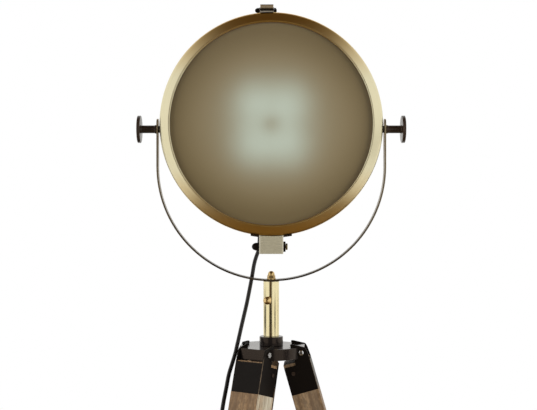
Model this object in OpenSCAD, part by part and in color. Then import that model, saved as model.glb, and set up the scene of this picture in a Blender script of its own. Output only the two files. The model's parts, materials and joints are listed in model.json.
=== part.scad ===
// Tripod spotlight floor lamp: a drum head with a hinged glass door, hung in a
// flat-bar yoke on a short mast that stands on three folding wooden legs.
// Millimetres, +Z up, floor at z = 0, the glass faces -Y.

/* [Head] */
// How far the ring round the glass stands out beyond the drum
ring_over = 6.4; // [5:0.1:8]
// Depth of the ring, front to back
bezel_depth = 19; // [17:0.5:30]
// Width of the ring's face, from its rim to the glass
bezel_face = 17.2; // [12:0.1:24]
// Thickness of the glass
lens_t = 3.8; // [2.5:0.1:6]
// Outer radius of the drum
shell_r = 170; // [130:0.5:210]
// Sheet thickness of the drum
shell_wall = 1.2; // [0.8:0.1:3]
// Length of the straight part of the drum
drum_len = 60; // [45:1:120]
// Depth of the domed back
dome_depth = 85; // [50:1:140]
// Radius of the flat at the back of the dome
dome_flat_r = 62; // [50:1:90]
// How far the lens axis stands above the tilt axis
lens_rise = 7; // [0:0.5:12]
// How far the drum's front rim stands ahead of the tilt axis
rim_ahead = 10; // [9:0.5:30]
// Radius of the neck hole in the reflector
reflector_neck_r = 24; // [22:0.5:35]
// Radius of the bulb
bulb_r = 30; // [20:1:45]
// Radius of the lamp holder
holder_r = 19; // [16:0.5:21]
// Radius of the vent cap at the back
cap_r = 66; // [45:1:90]

/* [Tilt pivots] */
// Length of the spacers between the drum's bosses and the yoke
spacer_len = 5.9; // [5:0.1:12]
// Radius of the threaded pivot studs
stud_r = 4; // [3:0.5:6]
// Radius of the knob discs
knob_r = 21.8; // [12:0.1:32]
// Thickness of the knob discs
knob_disc_t = 5.2; // [3:0.1:9]
// Length of the knob stems
knob_stem_len = 25; // [15:0.5:45]
// Radius of the knob stems
knob_stem_r = 6.2; // [5.5:0.1:10]

/* [Door hinge and latch] */
// Width of the hinge bracket under the ring
hinge_w = 38; // [30:1:60]
// Height of the hinge bracket
hinge_h = 28; // [24:0.5:36]
// Radius of the hinge bolt
hinge_bolt_r = 2.5; // [1.5:0.1:3.5]
// Width of the latch barrel on top of the head
latch_w = 20.8; // [14:0.2:34]
// Radius of the latch barrel
latch_r = 4.4; // [3.6:0.1:5]
// Radius of the latch bolt
latch_bolt_r = 2; // [1.5:0.1:3]
// How far the latch sits beside the middle of the ring
latch_offset = 7; // [0:1:20]

/* [Yoke and mast] */
// Thickness of the yoke's flat bar
yoke_t = 2.6; // [2:0.1:6]
// Width of the yoke's flat bar
yoke_w = 18; // [12:0.5:30]
// Length of the straight part of the yoke's arms under the tilt axis
yoke_straight = 59.4; // [55:0.1:120]
// How far the arms reach above the tilt axis
yoke_above = 16.7; // [10:0.1:30]
// Outer radius of the mast tube
mast_r = 12.5; // [10:0.5:18]
// Wall of the mast tube
mast_wall = 1.5; // [1:0.1:3]
// From the top of the hub to the underside of the yoke
mast_h = 102.6; // [90:0.2:160]
// Length of the turning stem inside the mast
stem_len = 58; // [30:1:65]
// Radius of the set screw's ball
ball_r = 6.4; // [4:0.1:9]
// From the underside of the yoke down to the set screw
screw_drop = 29.5; // [16:0.5:40]
// Outer radius of the collar round the foot of the mast
collar_r = 18.8; // [16:0.1:24]
// Height of the collar
collar_h = 14.5; // [8:0.1:24]

/* [Hub] */
// Thickness of the hub
hub_t = 17.7; // [14:0.1:26]
// Width of the hub's three lugs
lug_w = 46.4; // [36:0.2:50]
// From the leg pivots to the ends of the lugs
lug_beyond = 5; // [4:0.5:7]
// Distance of the leg pivots from the middle of the hub
pivot_r = 48; // [47.5:0.5:60]
// Height of the leg pivots above the floor
pivot_h = 1000; // [900:5:1150]
// Turn of the tripod under the head, in degrees
tripod_turn = -3; // [-15:1:15]

/* [Legs] */
// Splay of the legs from upright, in degrees
splay = 16; // [12:0.5:22]
// Width of a leg
leg_w = 51; // [40:0.5:52]
// From the pivot axis to the outer face of a leg
leg_out = 11; // [10:0.5:13]
// From the pivot axis to the inner face of a leg
leg_in = 32.5; // [24:0.5:32.5]
// Sheet thickness of the leg brackets
bracket_t = 2; // [1.5:0.1:2.5]
// From the pivot axis down to the lower edge of a bracket
bracket_len = 61.5; // [50:0.5:120]
// Radius of the leg pivot bolts
pivot_bolt_r = 3; // [2:0.1:4]
// Height of the rubber feet
foot_h = 8; // [4:0.5:20]

/* [Cord] */
// Diameter of the cord
cord_d = 6.5; // [5:0.1:6.6]
// Middle radius of the outermost turn of the coil
coil_r = 42.5; // [38:0.5:60]
// Turns side by side in the coil
coil_turns = 3; // [2:1:4]
// Length of the foot switch
switch_len = 76; // [60:1:100]
// Travel of the foot switch's button
switch_travel = 3; // [1:0.5:4]

/* [Fits] */
// Radial running clearance of a pin in its bore
running = 0.05; // [0.02:0.01:0.1]
// Gap left where one piece lies against another
seat = 0.1; // [0.05:0.05:0.3]

/* [Hidden] */
$fn = 96;

// Finishes
brass_ring = [0.62, 0.52, 0.33];
brass_bright = [0.80, 0.68, 0.38];
brass_dark = [0.36, 0.27, 0.17];
bronze = [0.20, 0.13, 0.09];
black_paint = [0.07, 0.06, 0.06];
black_rubber = [0.05, 0.05, 0.05];
steel = [0.70, 0.70, 0.72];
weathered_wood = [0.50, 0.42, 0.34];

// Heights of the main levels
bezel_r = shell_r + ring_over;
trunnion_end = shell_r + 3.5;                    // seat of the spacer
yoke_in = trunnion_end + 2 * seat + spacer_len;  // inner and outer faces of the arms
yoke_out = yoke_in + yoke_t;
yoke_half = yoke_in + yoke_t / 2;
yoke_drop = yoke_straight + yoke_half;           // tilt axis to the yoke's lowest point
hub_over = 8;                                    // hub top above the leg pivots
hub_top = pivot_h + hub_over;
yoke_under = hub_top + mast_h;
head_z = yoke_under + yoke_t / 2 + yoke_drop;    // tilt axis
lens_z = head_z + lens_rise;                     // lens axis

// The three legs by name
RIGHT = 0;
FRONT = 1;
REAR = 2;
function leg_angle(i) = tripod_turn + [0, -120, 120][i];

// Where a leg's corner meets the floor: n outwards, t sideways
function foot_reach(n) = pivot_r + n / cos(splay) + pivot_h * tan(splay);
function foot_corner(i, n, t) = [
    foot_reach(n) * cos(leg_angle(i)) - t * sin(leg_angle(i)),
    foot_reach(n) * sin(leg_angle(i)) + t * cos(leg_angle(i))];
foot_inset = 0.6;                                // rubber foot inside the wood's outline
foot_corners = [for (i = [RIGHT, FRONT, REAR]) for (t = [-1, 1])
    foot_corner(i, leg_out - foot_inset, t * (leg_w / 2 - foot_inset))];

// The mast stands where the object's box is centred on the origin
knob_end = yoke_out + 2 * seat + knob_stem_len + knob_disc_t;
min_x = min([for (c = foot_corners) c[0]]);
max_x = max([for (c = foot_corners) c[0]]);
min_y = min([for (c = foot_corners) c[1]]);
max_y = max([for (c = foot_corners) c[1]]);
mast_x = -(min(-knob_end, min_x) + max(knob_end, max_x)) / 2;
mast_y = -(min_y + max_y) / 2;

// Head, as distances ahead of the tilt axis
bezel_back = rim_ahead + 2 * seat;
bezel_front = bezel_back + bezel_depth;
glass_r = bezel_r - bezel_face;                  // radius of the visible glass
lip_t = 5.2;                                     // thickness of the ring's inner lip
lens_r = glass_r + 6.2;
gasket_t = 0.8;
gasket_show = 0.7;                               // gasket seen inside the ring
lens_front = bezel_front - lip_t - gasket_t - seat;
lens_back = lens_front - lens_t;
bead_r = shell_r + 2.5;                          // rolled bead at the drum's rim
bead_w = 5;
bead_back = rim_ahead - bead_w - 1.6;            // where the drum's straight wall ends
drum_end = rim_ahead - drum_len;
dome_end = drum_end - dome_depth;
shell_in = shell_r - shell_wall;
dome_steps = 14;

// Reflector, bulb and holder, ahead of the tilt axis
reflector_front = rim_ahead - 2;
reflector_mouth_r = shell_in - 9;
reflector_depth = 100;
reflector_wall = 1;
holder_front = dome_end + 69;
holder_back = dome_end + 17;
bulb_cap_r = 13;
bulb_cap_len = 26;
bulb_cap_back = holder_front - 22;
bulb_neck_r = 14.5;
bulb_centre = holder_front + bulb_r + 17;

// Vent cap
cap_gap = 15.5;                                  // cap's sheet behind the dome's flat
cap_screw_r = 2;
cap_screw_circle = 46;
vent_r = 5;                                      // holes in the dome under the cap
vent_circle = 32;
wire_hole_r = 12;

// Tilt pivots, along X from the middle
trunnion_t = 1.5;
trunnion_boss_r = 8.5;
trunnion_w = 17;                                 // plate under the boss, ahead and up
trunnion_h = 32;
rivet_r = 2;
rivets_up = [11.5, 16.2];                        // rivets above the tilt axis
spacer_r = 5.6;
stud_hole_r = stud_r + 0.1;
knob_bore_end = yoke_out + knob_stem_len - 6;

// Door hinge, from the lens axis
hinge_sheet = 1.5;
hinge_top = bezel_r + seat;
hinge_drop = hinge_top + hinge_h - 11;           // hinge axis below the lens axis
hinge_ahead = bezel_back + 1.8;
hinge_front = hinge_ahead + 10;
knuckle_r = 5;
leaf_w = 65;                                     // curved leaf under the ring
leaf_t = 2.6;
knuckle_w = hinge_w - 2 * hinge_sheet - 1.6;
strap_t = 1.7;                                   // straps that hug the drum
strap_in = shell_r + seat;

// Latch, from the lens axis
latch_up = bezel_r + 5.6;                        // latch axis above the lens axis
latch_back = rim_ahead - 10;                     // latch axis ahead of the tilt axis
latch_sheet = 1.3;
latch_ear_r = 5;
hook_ahead = bezel_back + 12.2;                  // hook in front of the ring's edge
tab_ahead = latch_back + 14;

// Mast, hub and set screw
mast_in = mast_r - mast_wall;
stem_r = mast_in - running;
socket_depth = 12;
screw_z = yoke_under - screw_drop;
screw_turn = -108;                               // direction the set screw points
screw_r = 3;
hub_bolt_r = 4;
hub_r = pivot_r + 2;
hub_edge = 1.6;                                  // rounding of the hub's rim
hub_bottom = hub_top - hub_t;
nut_r = 6.2;
yoke_bolt_r = 4;

// Leg brackets, in the leg's own frame
web_top = -14.3;                                 // upper edge of the web
side_top = -17;                                  // upper edge of the sides, inside the ears
wood_top = -12.5;
ear_in = -13.5;
ear_tip = 17;
ear_out = 8;
ear_shoulder = 6.6;
screw_n = -20.6;
screw_u = -28.6;
wood_screw_r = 1.6;
pivot_hole_r = pivot_bolt_r + 0.1;
pivot_head_r = pivot_bolt_r + 1.5;
ear_gap = 0.3;                                   // slots in the hub round the ears
slot_in = pivot_r + ear_in * cos(splay) - ear_tip * sin(splay) - 1.3;

// Cord clips on the front leg, from the pivot down its left face
CLIP_AT = [for (share = [0.21, 0.52, 0.83]) share * pivot_h];
clip_n = 3;
clip_len = 10;
clip_bore_r = cord_d / 2 + 0.3;
clip_out_r = clip_bore_r + 1.2;
clip_sheet = 2.4;
clip_ear = 8;                                    // nail beside the cord in a clip
clip_nail_r = 1;
clip_side = leg_w / 2 + clip_out_r + seat;       // middle of the cord in the clips

// A point on the front leg's left face where the cord runs, u below the pivot
function on_clip_line(u) = let (a = leg_angle(FRONT),
    reach = pivot_r + clip_n * cos(splay) + u * sin(splay))
    [reach * cos(a) + clip_side * sin(a), reach * sin(a) - clip_side * cos(a),
        pivot_h - u * cos(splay) + clip_n * sin(splay)];
floor_u = pivot_h / cos(splay) + clip_n * tan(splay);
leg_end = on_clip_line(floor_u);                 // where that line meets the floor

// Coil, foot switch and plug on the floor, from where the leg's cord line meets it
coil_at = [59.5, 275];
switch_at = [13.5, 155];
switch_dir = 72;                                 // direction of the cord through it
switch_w = 33;
switch_h = 20;
switch_cord_z = 8;
button_r = 11;
plug_at = [78.5, 359];
plug_dir = 116;
plug_z = 11;
plug_relief = 22;                                // tapered sleeve behind the plug
plug_back = plug_at - plug_relief * [cos(plug_dir), sin(plug_dir)];

// The cord's route from the mast: gland, past the mast, hub, leg, floor
GLAND_TURN = 5.6;                                // gland's lean to the left, degrees
gland_y = 40;
gland_len = 24;
gland_down = [-sin(GLAND_TURN), 0, -cos(GLAND_TURN)];
gland_tip = [0, gland_y, lens_z] + (shell_r + gland_len) * gland_down;
// Heights over the yoke's underside
HEAD_ROUTE = [[-23, 39.5, 40.4], [-26, 38.6, 31.4], [-28.4, 37, 21.4], [-31, 34, 5.4]];
// Heights as shares of the way from the hub's top to the end of the route above
NECK_ROUTE = [[-31, 34, 1], [-35, 30, 0.806], [-39.4, 26, 0.602], [-43.8, 21, 0.426],
    [-48, 16, 0.259], [-51.4, 11, 0.12], [-54.4, 6, 0]];
// Heights over the hub's top
LEG_ROUTE = [[-54.4, 6, 0], [-57.4, 1, -13], [-62, -6.5, -28], [-67, -17, -44],
    [-70.4, -27, -62], [-75.4, -43, -89], [-79.4, -58, -123], [-83, -69, -163]];
// From the point where the leg's cord line meets the floor
FLOOR_ROUTE = [[11.4, 18.9, 80], [5.6, 15.4, 50], [3, 19.5, 26], [1, 28.5, 11], [0.5, 45, 4.2],
    [0.9, 64, 3.3], [0.9, 87, 4.5], [1.3, 103, 6.9], [1.8, 119, 8], [25.2, 191, 8],
    [29.3, 203, 6.9], [35.5, 216, 4.6], [45.5, 227, 3.4], [59.5, 232.5, 3.3]];
TAIL_ROUTE = [[102, 275, 9.8], [102.5, 291, 9.9], [100.9, 307, 10.2], [96, 323, 10.8]];
cord_sides = 10;

// ---------------------------------------------------------------- helpers

cut = 40;                                        // spare length of a cutter

module at_mast() {
    translate([mast_x, mast_y, 0]) children();
}

// Turned pieces on the lens axis: the profile's height points ahead, to -Y
module on_lens() {
    at_mast() translate([0, 0, lens_z]) rotate([90, 0, 0]) children();
}

module turned(points) {
    rotate_extrude() polygon(points);
}

module tube(r_out, r_in, h) {
    difference() {
        cylinder(r = r_out, h = h);
        translate([0, 0, -1]) cylinder(r = r_in, h = h + 2);
    }
}

// A strap that hugs the drum: w along X or Z as seen from the lens axis
module hugging_strap(x0, x1, ahead0, ahead1, side) {
    intersection() {
        translate([0, 0, ahead0]) tube(strap_in + strap_t, strap_in, ahead1 - ahead0);
        translate([x0, side > 0 ? 0 : -2 * shell_r, ahead0 - 1])
            cube([x1 - x0, 2 * shell_r, ahead1 - ahead0 + 2]);
    }
}

// X axis of a pivot that is right of or left of the head
module on_pivot(side) {
    at_mast() translate([0, 0, head_z]) mirror([side < 0 ? 1 : 0, 0, 0])
        rotate([0, 90, 0]) children();
}

// The leg's own frame: x outwards, y sideways, z up along the leg, from its pivot
module on_leg(i) {
    at_mast() rotate([0, 0, leg_angle(i)]) translate([pivot_r, 0, pivot_h])
        rotate([0, -splay, 0]) children();
}

module hex(across_corners_r, h) {
    cylinder(r = across_corners_r, h = h, $fn = 6);
}

// Smooth curve through points, and the frames that sweep a tube along it
function spline(a, b, c, d, t) = 0.5 * (2 * b + t * (c - a)
    + t * t * (2 * a - 5 * b + 4 * c - d) + t * t * t * (3 * b - a - 3 * c + d));
function curve(p, steps) = let (n = len(p) - 1) concat(
    [for (i = [0:n - 1]) for (s = [0:steps - 1])
        spline(i == 0 ? 2 * p[0] - p[1] : p[i - 1], p[i], p[i + 1],
            i == n - 1 ? 2 * p[n] - p[n - 1] : p[i + 2], s / steps)],
    [p[n]]);
function unit(v) = v / norm(v);
function heading(q, k) = unit(q[min(k + 1, len(q) - 1)] - q[max(k - 1, 0)]);
function sideways(h) = unit(cross(h, abs(h[1]) > 0.9 ? [1, 0, 0] : [0, 1, 0]));

module swept(q, r) {
    n = cord_sides;
    rings = len(q);
    points = [for (k = [0:rings - 1]) let (h = heading(q, k), a = sideways(h), b = cross(h, a))
        for (j = [0:n - 1]) q[k] + r * (cos(360 * j / n) * a + sin(360 * j / n) * b)];
    faces = concat(
        [[for (j = [0:n - 1]) j]],
        [for (k = [0:rings - 2]) for (j = [0:n - 1])
            [k * n + j, (k + 1) * n + j, (k + 1) * n + (j + 1) % n, k * n + (j + 1) % n]],
        [[for (j = [n - 1:-1:0]) (rings - 1) * n + j]]);
    at_mast() polyhedron(points, faces);
}

// ---------------------------------------------------------------- head

function dome(a, off) = [
    dome_flat_r + (shell_r - dome_flat_r - off) * cos(a),
    drum_end - (dome_depth - off) * sin(a)];

module shell() {
    color(brass_dark) difference() {
        on_lens() turned(concat(
            [[shell_in, rim_ahead], [bead_r, rim_ahead], [bead_r, rim_ahead - bead_w],
                [shell_r, bead_back + 0.1]],
            [for (k = [0:dome_steps]) dome(90 * k / dome_steps, 0)],
            [[wire_hole_r, dome_end], [wire_hole_r, dome_end + shell_wall]],
            [for (k = [dome_steps:-1:0]) dome(90 * k / dome_steps, shell_wall)]));
        for (side = [-1, 1])
            on_pivot(side) translate([0, 0, shell_r - cut / 2]) cylinder(r = stud_hole_r, h = cut);
        gland_axis() translate([0, 0, shell_r - cut / 2])
            cylinder(r = gland_neck_r + seat, h = cut);
        for (a = [0:120:240])
            on_lens() rotate([0, 0, a + 90]) translate([cap_screw_circle, 0, dome_end - 1])
                cylinder(r = cap_screw_r + 0.1, h = shell_wall + 2);
        for (a = [30:60:330])
            on_lens() rotate([0, 0, a]) translate([vent_circle, 0, dome_end - 1])
                cylinder(r = vent_r, h = shell_wall + 2);
    }
}

module trunnion_plates() {
    color(brass_dark) for (side = [-1, 1]) difference() {
        union() {
            intersection() {
                on_lens() translate([0, 0, bead_back - trunnion_w])
                    tube(strap_in + trunnion_t, strap_in, trunnion_w);
                at_mast() translate([side * shell_r - cut / 2, -cut, head_z - trunnion_h / 3])
                    cube([cut, 2 * cut, trunnion_h]);
            }
            difference() {
                on_pivot(side) translate([0, 0, shell_r - 6])
                    cylinder(r = trunnion_boss_r, h = trunnion_end - shell_r + 6);
                on_lens() translate([0, 0, -cut / 2]) cylinder(r = strap_in, h = cut);
            }
            for (up = rivets_up) difference() {
                at_mast() translate([0, 3, head_z + up]) mirror([side < 0 ? 1 : 0, 0, 0])
                    rotate([0, 90, 0]) translate([0, 0, shell_r - 6])
                        cylinder(r = rivet_r, h = trunnion_end - shell_r + 6);
                on_lens() translate([0, 0, -cut / 2]) cylinder(r = strap_in, h = cut);
            }
        }
        on_pivot(side) translate([0, 0, shell_r - cut / 2]) cylinder(r = stud_hole_r, h = cut);
        on_lens() translate([0, 0, bead_back - 0.1]) cylinder(r = bead_r + seat, h = cut);
    }
}

module rear_cap() {
    color(brass_dark) difference() {
        on_lens() turned([[0, dome_end - cap_gap], [cap_r - 1.4, dome_end - cap_gap],
            [cap_r - 1.4, dome_end - cap_gap + 9], [cap_r, dome_end - cap_gap + 9],
            [cap_r, dome_end - cap_gap - 0.6], [cap_r - 2, dome_end - cap_gap - 1.4],
            [0, dome_end - cap_gap - 1.4]]);
        for (a = [0:120:240])
            on_lens() rotate([0, 0, a + 90])
                translate([cap_screw_circle, 0, dome_end - cap_gap - 4])
                    cylinder(r = cap_screw_r + 0.1, h = 8);
    }
}

module rear_cap_screws() {
    color(steel) for (a = [0:120:240])
        on_lens() rotate([0, 0, a + 90]) translate([cap_screw_circle, 0, 0]) {
            translate([0, 0, dome_end - cap_gap + seat]) cylinder(r = 5, h = cap_gap - 2 * seat);
            translate([0, 0, dome_end - cap_gap - 1.4 - seat])
                cylinder(r = cap_screw_r, h = cap_gap + 6);
            translate([0, 0, dome_end - cap_gap - 3.8]) cylinder(r = 4, h = 2.4 - seat);
        }
}

function bowl(r) = reflector_front - reflector_depth
    + reflector_depth * (pow(r, 2) - pow(reflector_neck_r, 2))
    / (pow(reflector_mouth_r, 2) - pow(reflector_neck_r, 2));

module reflector() {
    steps = 12;
    radii = [for (k = [0:steps])
        reflector_mouth_r + (reflector_neck_r - reflector_mouth_r) * k / steps];
    color([0.85, 0.85, 0.86]) on_lens() turned(concat(
        [[shell_in - seat, reflector_front - reflector_wall], [shell_in - seat, reflector_front]],
        [for (r = radii) [r, bowl(r)]],
        [for (k = [steps:-1:0]) [radii[k] + reflector_wall * 0.6, bowl(radii[k]) - reflector_wall]]));
}

module lamp_holder() {
    color([0.12, 0.12, 0.12]) on_lens() turned([
        [bulb_cap_r + 0.3, holder_front], [holder_r, holder_front], [holder_r, holder_back + 14],
        [holder_r - 4, holder_back], [0, holder_back], [0, bulb_cap_back - 0.4],
        [bulb_cap_r + 0.3, bulb_cap_back - 0.4]]);
}

module holder_bracket() {
    back = dome_end + shell_wall + seat;
    front = holder_back - seat;
    color(steel) on_lens() turned([
        [8, front], [24, front], [24, back + 1.5], [30, back + 1.5], [30, back],
        [22.4, back], [22.4, front - 1.6], [8, front - 1.6]]);
}

// Bulb: a globe that flows into a straight neck
function globe(a, r) = [r * sin(a), bulb_centre + r * cos(a)];
neck_turn = 180 - asin(bulb_neck_r / bulb_r);

module bulb_glass() {
    steps = 16;
    outer = [for (k = [0:steps]) globe(neck_turn * k / steps, bulb_r)];
    inner = [for (k = [steps:-1:0]) globe(neck_turn * k / steps, bulb_r - 1)];
    color([0.95, 0.95, 0.90]) on_lens() turned(concat(outer,
        [[bulb_neck_r, holder_front + 1], [bulb_neck_r - 1, holder_front + 1]], inner));
}

module bulb_cap() {
    color(steel) on_lens() turned([[0, holder_front + 0.8], [bulb_cap_r, holder_front + 0.8],
        [bulb_cap_r, bulb_cap_back + 5], [bulb_cap_r - 5, bulb_cap_back], [0, bulb_cap_back]]);
}

gland_neck_r = 5;
gland_nut_r = 8;

// Axis of the gland: out through the bottom of the drum
module gland_axis() {
    at_mast() translate([0, gland_y, lens_z]) rotate([0, 180 + GLAND_TURN, 0]) children();
}

module cable_gland() {
    flat = sqrt(pow(shell_r, 2) - pow(gland_nut_r, 2));
    color(black_rubber) gland_axis() difference() {
        union() {
            translate([0, 0, shell_in - 9]) cylinder(r = gland_neck_r, h = 12);
            translate([0, 0, shell_in - 4.4]) hex(gland_nut_r - 1, 4);
            difference() {
                translate([0, 0, flat - 1]) cylinder(r = gland_nut_r - 0.5, h = shell_r - flat + 5);
                rotate([90, 0, 0]) translate([0, 0, -cut / 2]) cylinder(r = shell_r + seat, h = cut);
            }
            translate([0, 0, shell_r + 4])
                turned([[0, 0], [4.8, 0], [3.7, gland_len - 4], [0, gland_len - 4]]);
        }
        translate([0, 0, shell_in - 10]) cylinder(r = 1.5, h = gland_len + 6);
    }
}

module pivot_studs() {
    color(steel) for (side = [-1, 1]) on_pivot(side) {
        translate([0, 0, shell_in - 5.2]) hex(stud_r + 2.6, 4.4);
        translate([0, 0, shell_in - 0.8]) cylinder(r = stud_r, h = knob_bore_end - shell_in - 1);
    }
}

module spacers() {
    color(black_rubber) for (side = [-1, 1]) on_pivot(side)
        translate([0, 0, trunnion_end + seat])
            tube(spacer_r, stud_hole_r, yoke_in - trunnion_end - 2 * seat);
}

// ---------------------------------------------------------------- door

module bezel() {
    f = bezel_front;
    b = bezel_back;
    color(brass_ring) on_lens() turned([
        [bezel_r, b], [bezel_r, f - 9], [bezel_r - 0.8, f - 7.6], [glass_r + 3.2, f - 0.4],
        [glass_r + 2.2, f], [glass_r + 1, f], [glass_r, f - 1],
        [glass_r, f - lip_t], [lens_r + 0.8, f - lip_t],
        [lens_r + 0.8, lens_back - seat], [bezel_r - 2.4, lens_back - seat],
        [bezel_r - 2.4, b]]);
}

module lens() {
    color([0.55, 0.52, 0.42]) on_lens() translate([0, 0, lens_back])
        cylinder(r = lens_r, h = lens_t);
}

module lens_gasket() {
    color(black_rubber) on_lens() translate([0, 0, lens_front + seat / 2])
        tube(lens_r, glass_r - gasket_show, gasket_t);
}

module lens_clips() {
    color(steel) for (a = [45:90:315]) on_lens() rotate([0, 0, a])
        translate([glass_r - 1, -7, lens_back - 2 * seat - 1.4])
            cube([bezel_r - 3.2 - glass_r, 14, 1.4]);
}

module hinge_bracket() {
    at_top = -hinge_top;
    bottom = at_top - hinge_h;
    color([0.66, 0.60, 0.45]) difference() {
        union() {
            on_lens() translate([-hinge_w / 2, bottom, bezel_back + seat])
                cube([hinge_w, hinge_h, hinge_front - bezel_back]);
            on_lens() intersection() {
                translate([0, 0, bezel_back + 1]) tube(hinge_top + leaf_t, hinge_top, 8.6);
                translate([-leaf_w / 2, at_top - 8, bezel_back]) cube([leaf_w, 12, 12]);
            }
        }
        on_lens() translate([0, 0, bezel_back - 5]) cylinder(r = hinge_top, h = 30);
        on_lens() translate([-hinge_w / 2 + hinge_sheet, bottom - 1, bezel_back - 5])
            cube([hinge_w - 2 * hinge_sheet, hinge_h + 1 - leaf_t,
                hinge_front - bezel_back + 5 - hinge_sheet]);
        on_hinge() translate([0, 0, -hinge_w]) cylinder(r = hinge_bolt_r + running, h = 2 * hinge_w);
    }
}

// The hinge bolt's axis, along X
module on_hinge() {
    at_mast() translate([0, -hinge_ahead, lens_z - hinge_drop]) rotate([0, 90, 0]) children();
}

module hinge_plate() {
    arm_in = 5.5;                                // arm from the strap to the knuckle
    arm_top = strap_in + strap_t - 0.6;
    color(bronze) difference() {
        union() {
            on_lens() hugging_strap(-33, 33, bead_back - 14, bead_back - 0.1, -1);
            on_lens() translate([-knuckle_w / 2, -arm_top - arm_in, rim_ahead - bead_w - 12])
                cube([knuckle_w, arm_in, 10]);
            on_lens() translate([-knuckle_w / 2, -hinge_drop, rim_ahead - bead_w - 7])
                cube([knuckle_w, hinge_drop - arm_top - 2, 4]);
            on_lens() translate([-knuckle_w / 2, -hinge_drop, rim_ahead - bead_w - 7])
                cube([knuckle_w, 4, hinge_ahead - rim_ahead + bead_w + 7]);
            on_hinge() translate([0, 0, -knuckle_w / 2]) cylinder(r = knuckle_r, h = knuckle_w);
        }
        on_hinge() translate([0, 0, -hinge_w]) cylinder(r = hinge_bolt_r + 0.1, h = 2 * hinge_w);
    }
}

module hinge_bolt() {
    color(brass_bright) on_hinge() {
        translate([0, 0, -hinge_w / 2 - 6]) cylinder(r = hinge_bolt_r, h = hinge_w + 13);
        translate([0, 0, hinge_w / 2 + 3.8]) difference() {
            hex(hinge_bolt_r + 2.7, 3);
            translate([0, 0, -1]) cylinder(r = hinge_bolt_r + 0.05, h = 5);
        }
    }
}

module hinge_caps() {
    dome_r = hinge_bolt_r + 3.2;
    washer_t = 3.4;
    color(black_paint) on_hinge() {
        translate([0, 0, -hinge_w / 2 - seat]) mirror([0, 0, 1]) difference() {
            union() {
                cylinder(r = dome_r + 1.2, h = 2);
                hex(dome_r + 0.6, 6);
                translate([0, 0, 6]) intersection() {
                    sphere(r = dome_r);
                    cylinder(r = dome_r, h = dome_r);
                }
            }
            translate([0, 0, -1]) cylinder(r = hinge_bolt_r + 0.05, h = 8);
        }
        translate([0, 0, hinge_w / 2 + seat]) tube(hinge_bolt_r + 5.7, hinge_bolt_r + 0.1, washer_t);
    }
}

// The latch's axis, along X, from the middle of the barrel
module on_latch() {
    at_mast() translate([-latch_offset, -latch_back, lens_z + latch_up])
        rotate([0, 90, 0]) children();
}

module latch_base() {
    ear_front = bead_back - 0.1;
    color(bronze) difference() {
        union() {
            on_lens() hugging_strap(-latch_offset - latch_w / 2 - 6, -latch_offset + latch_w / 2 + 6,
                bead_back - 16, ear_front, 1);
            for (side = [-1, 1]) {
                on_latch() translate([0, 0, side * (latch_w / 2 + seat + latch_sheet / 2)
                    - latch_sheet / 2]) cylinder(r = latch_ear_r, h = latch_sheet);
                on_lens() translate([-latch_offset + side * (latch_w / 2 + seat + latch_sheet / 2)
                    - latch_sheet / 2, strap_in - 1.2, latch_back - latch_ear_r])
                    cube([latch_sheet, latch_up - strap_in + 1.2,
                        ear_front - latch_back + latch_ear_r]);
            }
        }
        on_latch() translate([0, 0, -latch_w]) cylinder(r = latch_bolt_r + 0.1, h = 2 * latch_w);
        on_lens() translate([0, 0, -cut]) cylinder(r = strap_in, h = 2 * cut);
    }
}

// A plate of the latch lever, seen from its side: ahead and above the ring's edge
module latch_plate(ahead0, ahead1, up0, up1) {
    on_lens() translate([-latch_offset - latch_w / 2, bezel_r + up0, ahead0])
        cube([latch_w, up1 - up0, ahead1 - ahead0]);
}

module latch_lever() {
    sheet = 1.6;
    color(brass_ring) difference() {
        union() {
            on_latch() translate([0, 0, -latch_w / 2]) cylinder(r = latch_r, h = latch_w);
            latch_plate(latch_back, hook_ahead + sheet, 1.4, 1.4 + sheet);
            latch_plate(hook_ahead, hook_ahead + sheet, -1, 1.4 + sheet);
            latch_plate(latch_back, tab_ahead, 8.2, 8.2 + sheet);
            latch_plate(tab_ahead - sheet, tab_ahead, 7.2, 12.8);
        }
        on_latch() translate([0, 0, -latch_w]) cylinder(r = latch_bolt_r + running, h = 2 * latch_w);
    }
}

module latch_bolt() {
    half = latch_w / 2 + seat + latch_sheet;
    color(black_paint) on_latch() {
        translate([0, 0, -half - 3]) cylinder(r = latch_bolt_r, h = 2 * half + 7);
        translate([0, 0, half + seat]) difference() {
            hex(latch_bolt_r + 2.2, 3);
            translate([0, 0, -1]) cylinder(r = latch_bolt_r + 0.05, h = 5);
        }
        translate([0, 0, -half - seat]) mirror([0, 0, 1]) difference() {
            union() {
                hex(latch_bolt_r + 2.2, 3.4);
                translate([0, 0, 3.4]) intersection() {
                    sphere(r = latch_bolt_r + 1.6);
                    cylinder(r = latch_bolt_r + 1.6, h = 4);
                }
            }
            translate([0, 0, -1]) cylinder(r = latch_bolt_r + 0.05, h = 4.2);
        }
    }
}

module knob() {
    start = yoke_out + 2 * seat;
    disc = start + knob_stem_len;
    color(bronze) turned([
        [stud_r + running, start], [knob_stem_r + 0.7, start], [knob_stem_r + 0.7, start + 2.4],
        [knob_stem_r, start + 3.4], [knob_stem_r, disc - 0.8], [knob_stem_r + 0.8, disc],
        [knob_r - 0.6, disc], [knob_r, disc + 0.6], [knob_r, disc + knob_disc_t / 2 - 0.5],
        [knob_r - 0.7, disc + knob_disc_t / 2], [knob_r, disc + knob_disc_t / 2 + 0.5],
        [knob_r, disc + knob_disc_t - 0.6], [knob_r - 0.6, disc + knob_disc_t],
        [0, disc + knob_disc_t], [0, knob_bore_end], [stud_r + running, knob_bore_end]]);
}

module knob_left() {
    on_pivot(-1) knob();
}

module knob_right() {
    on_pivot(1) knob();
}

// ---------------------------------------------------------------- yoke and mast

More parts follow.
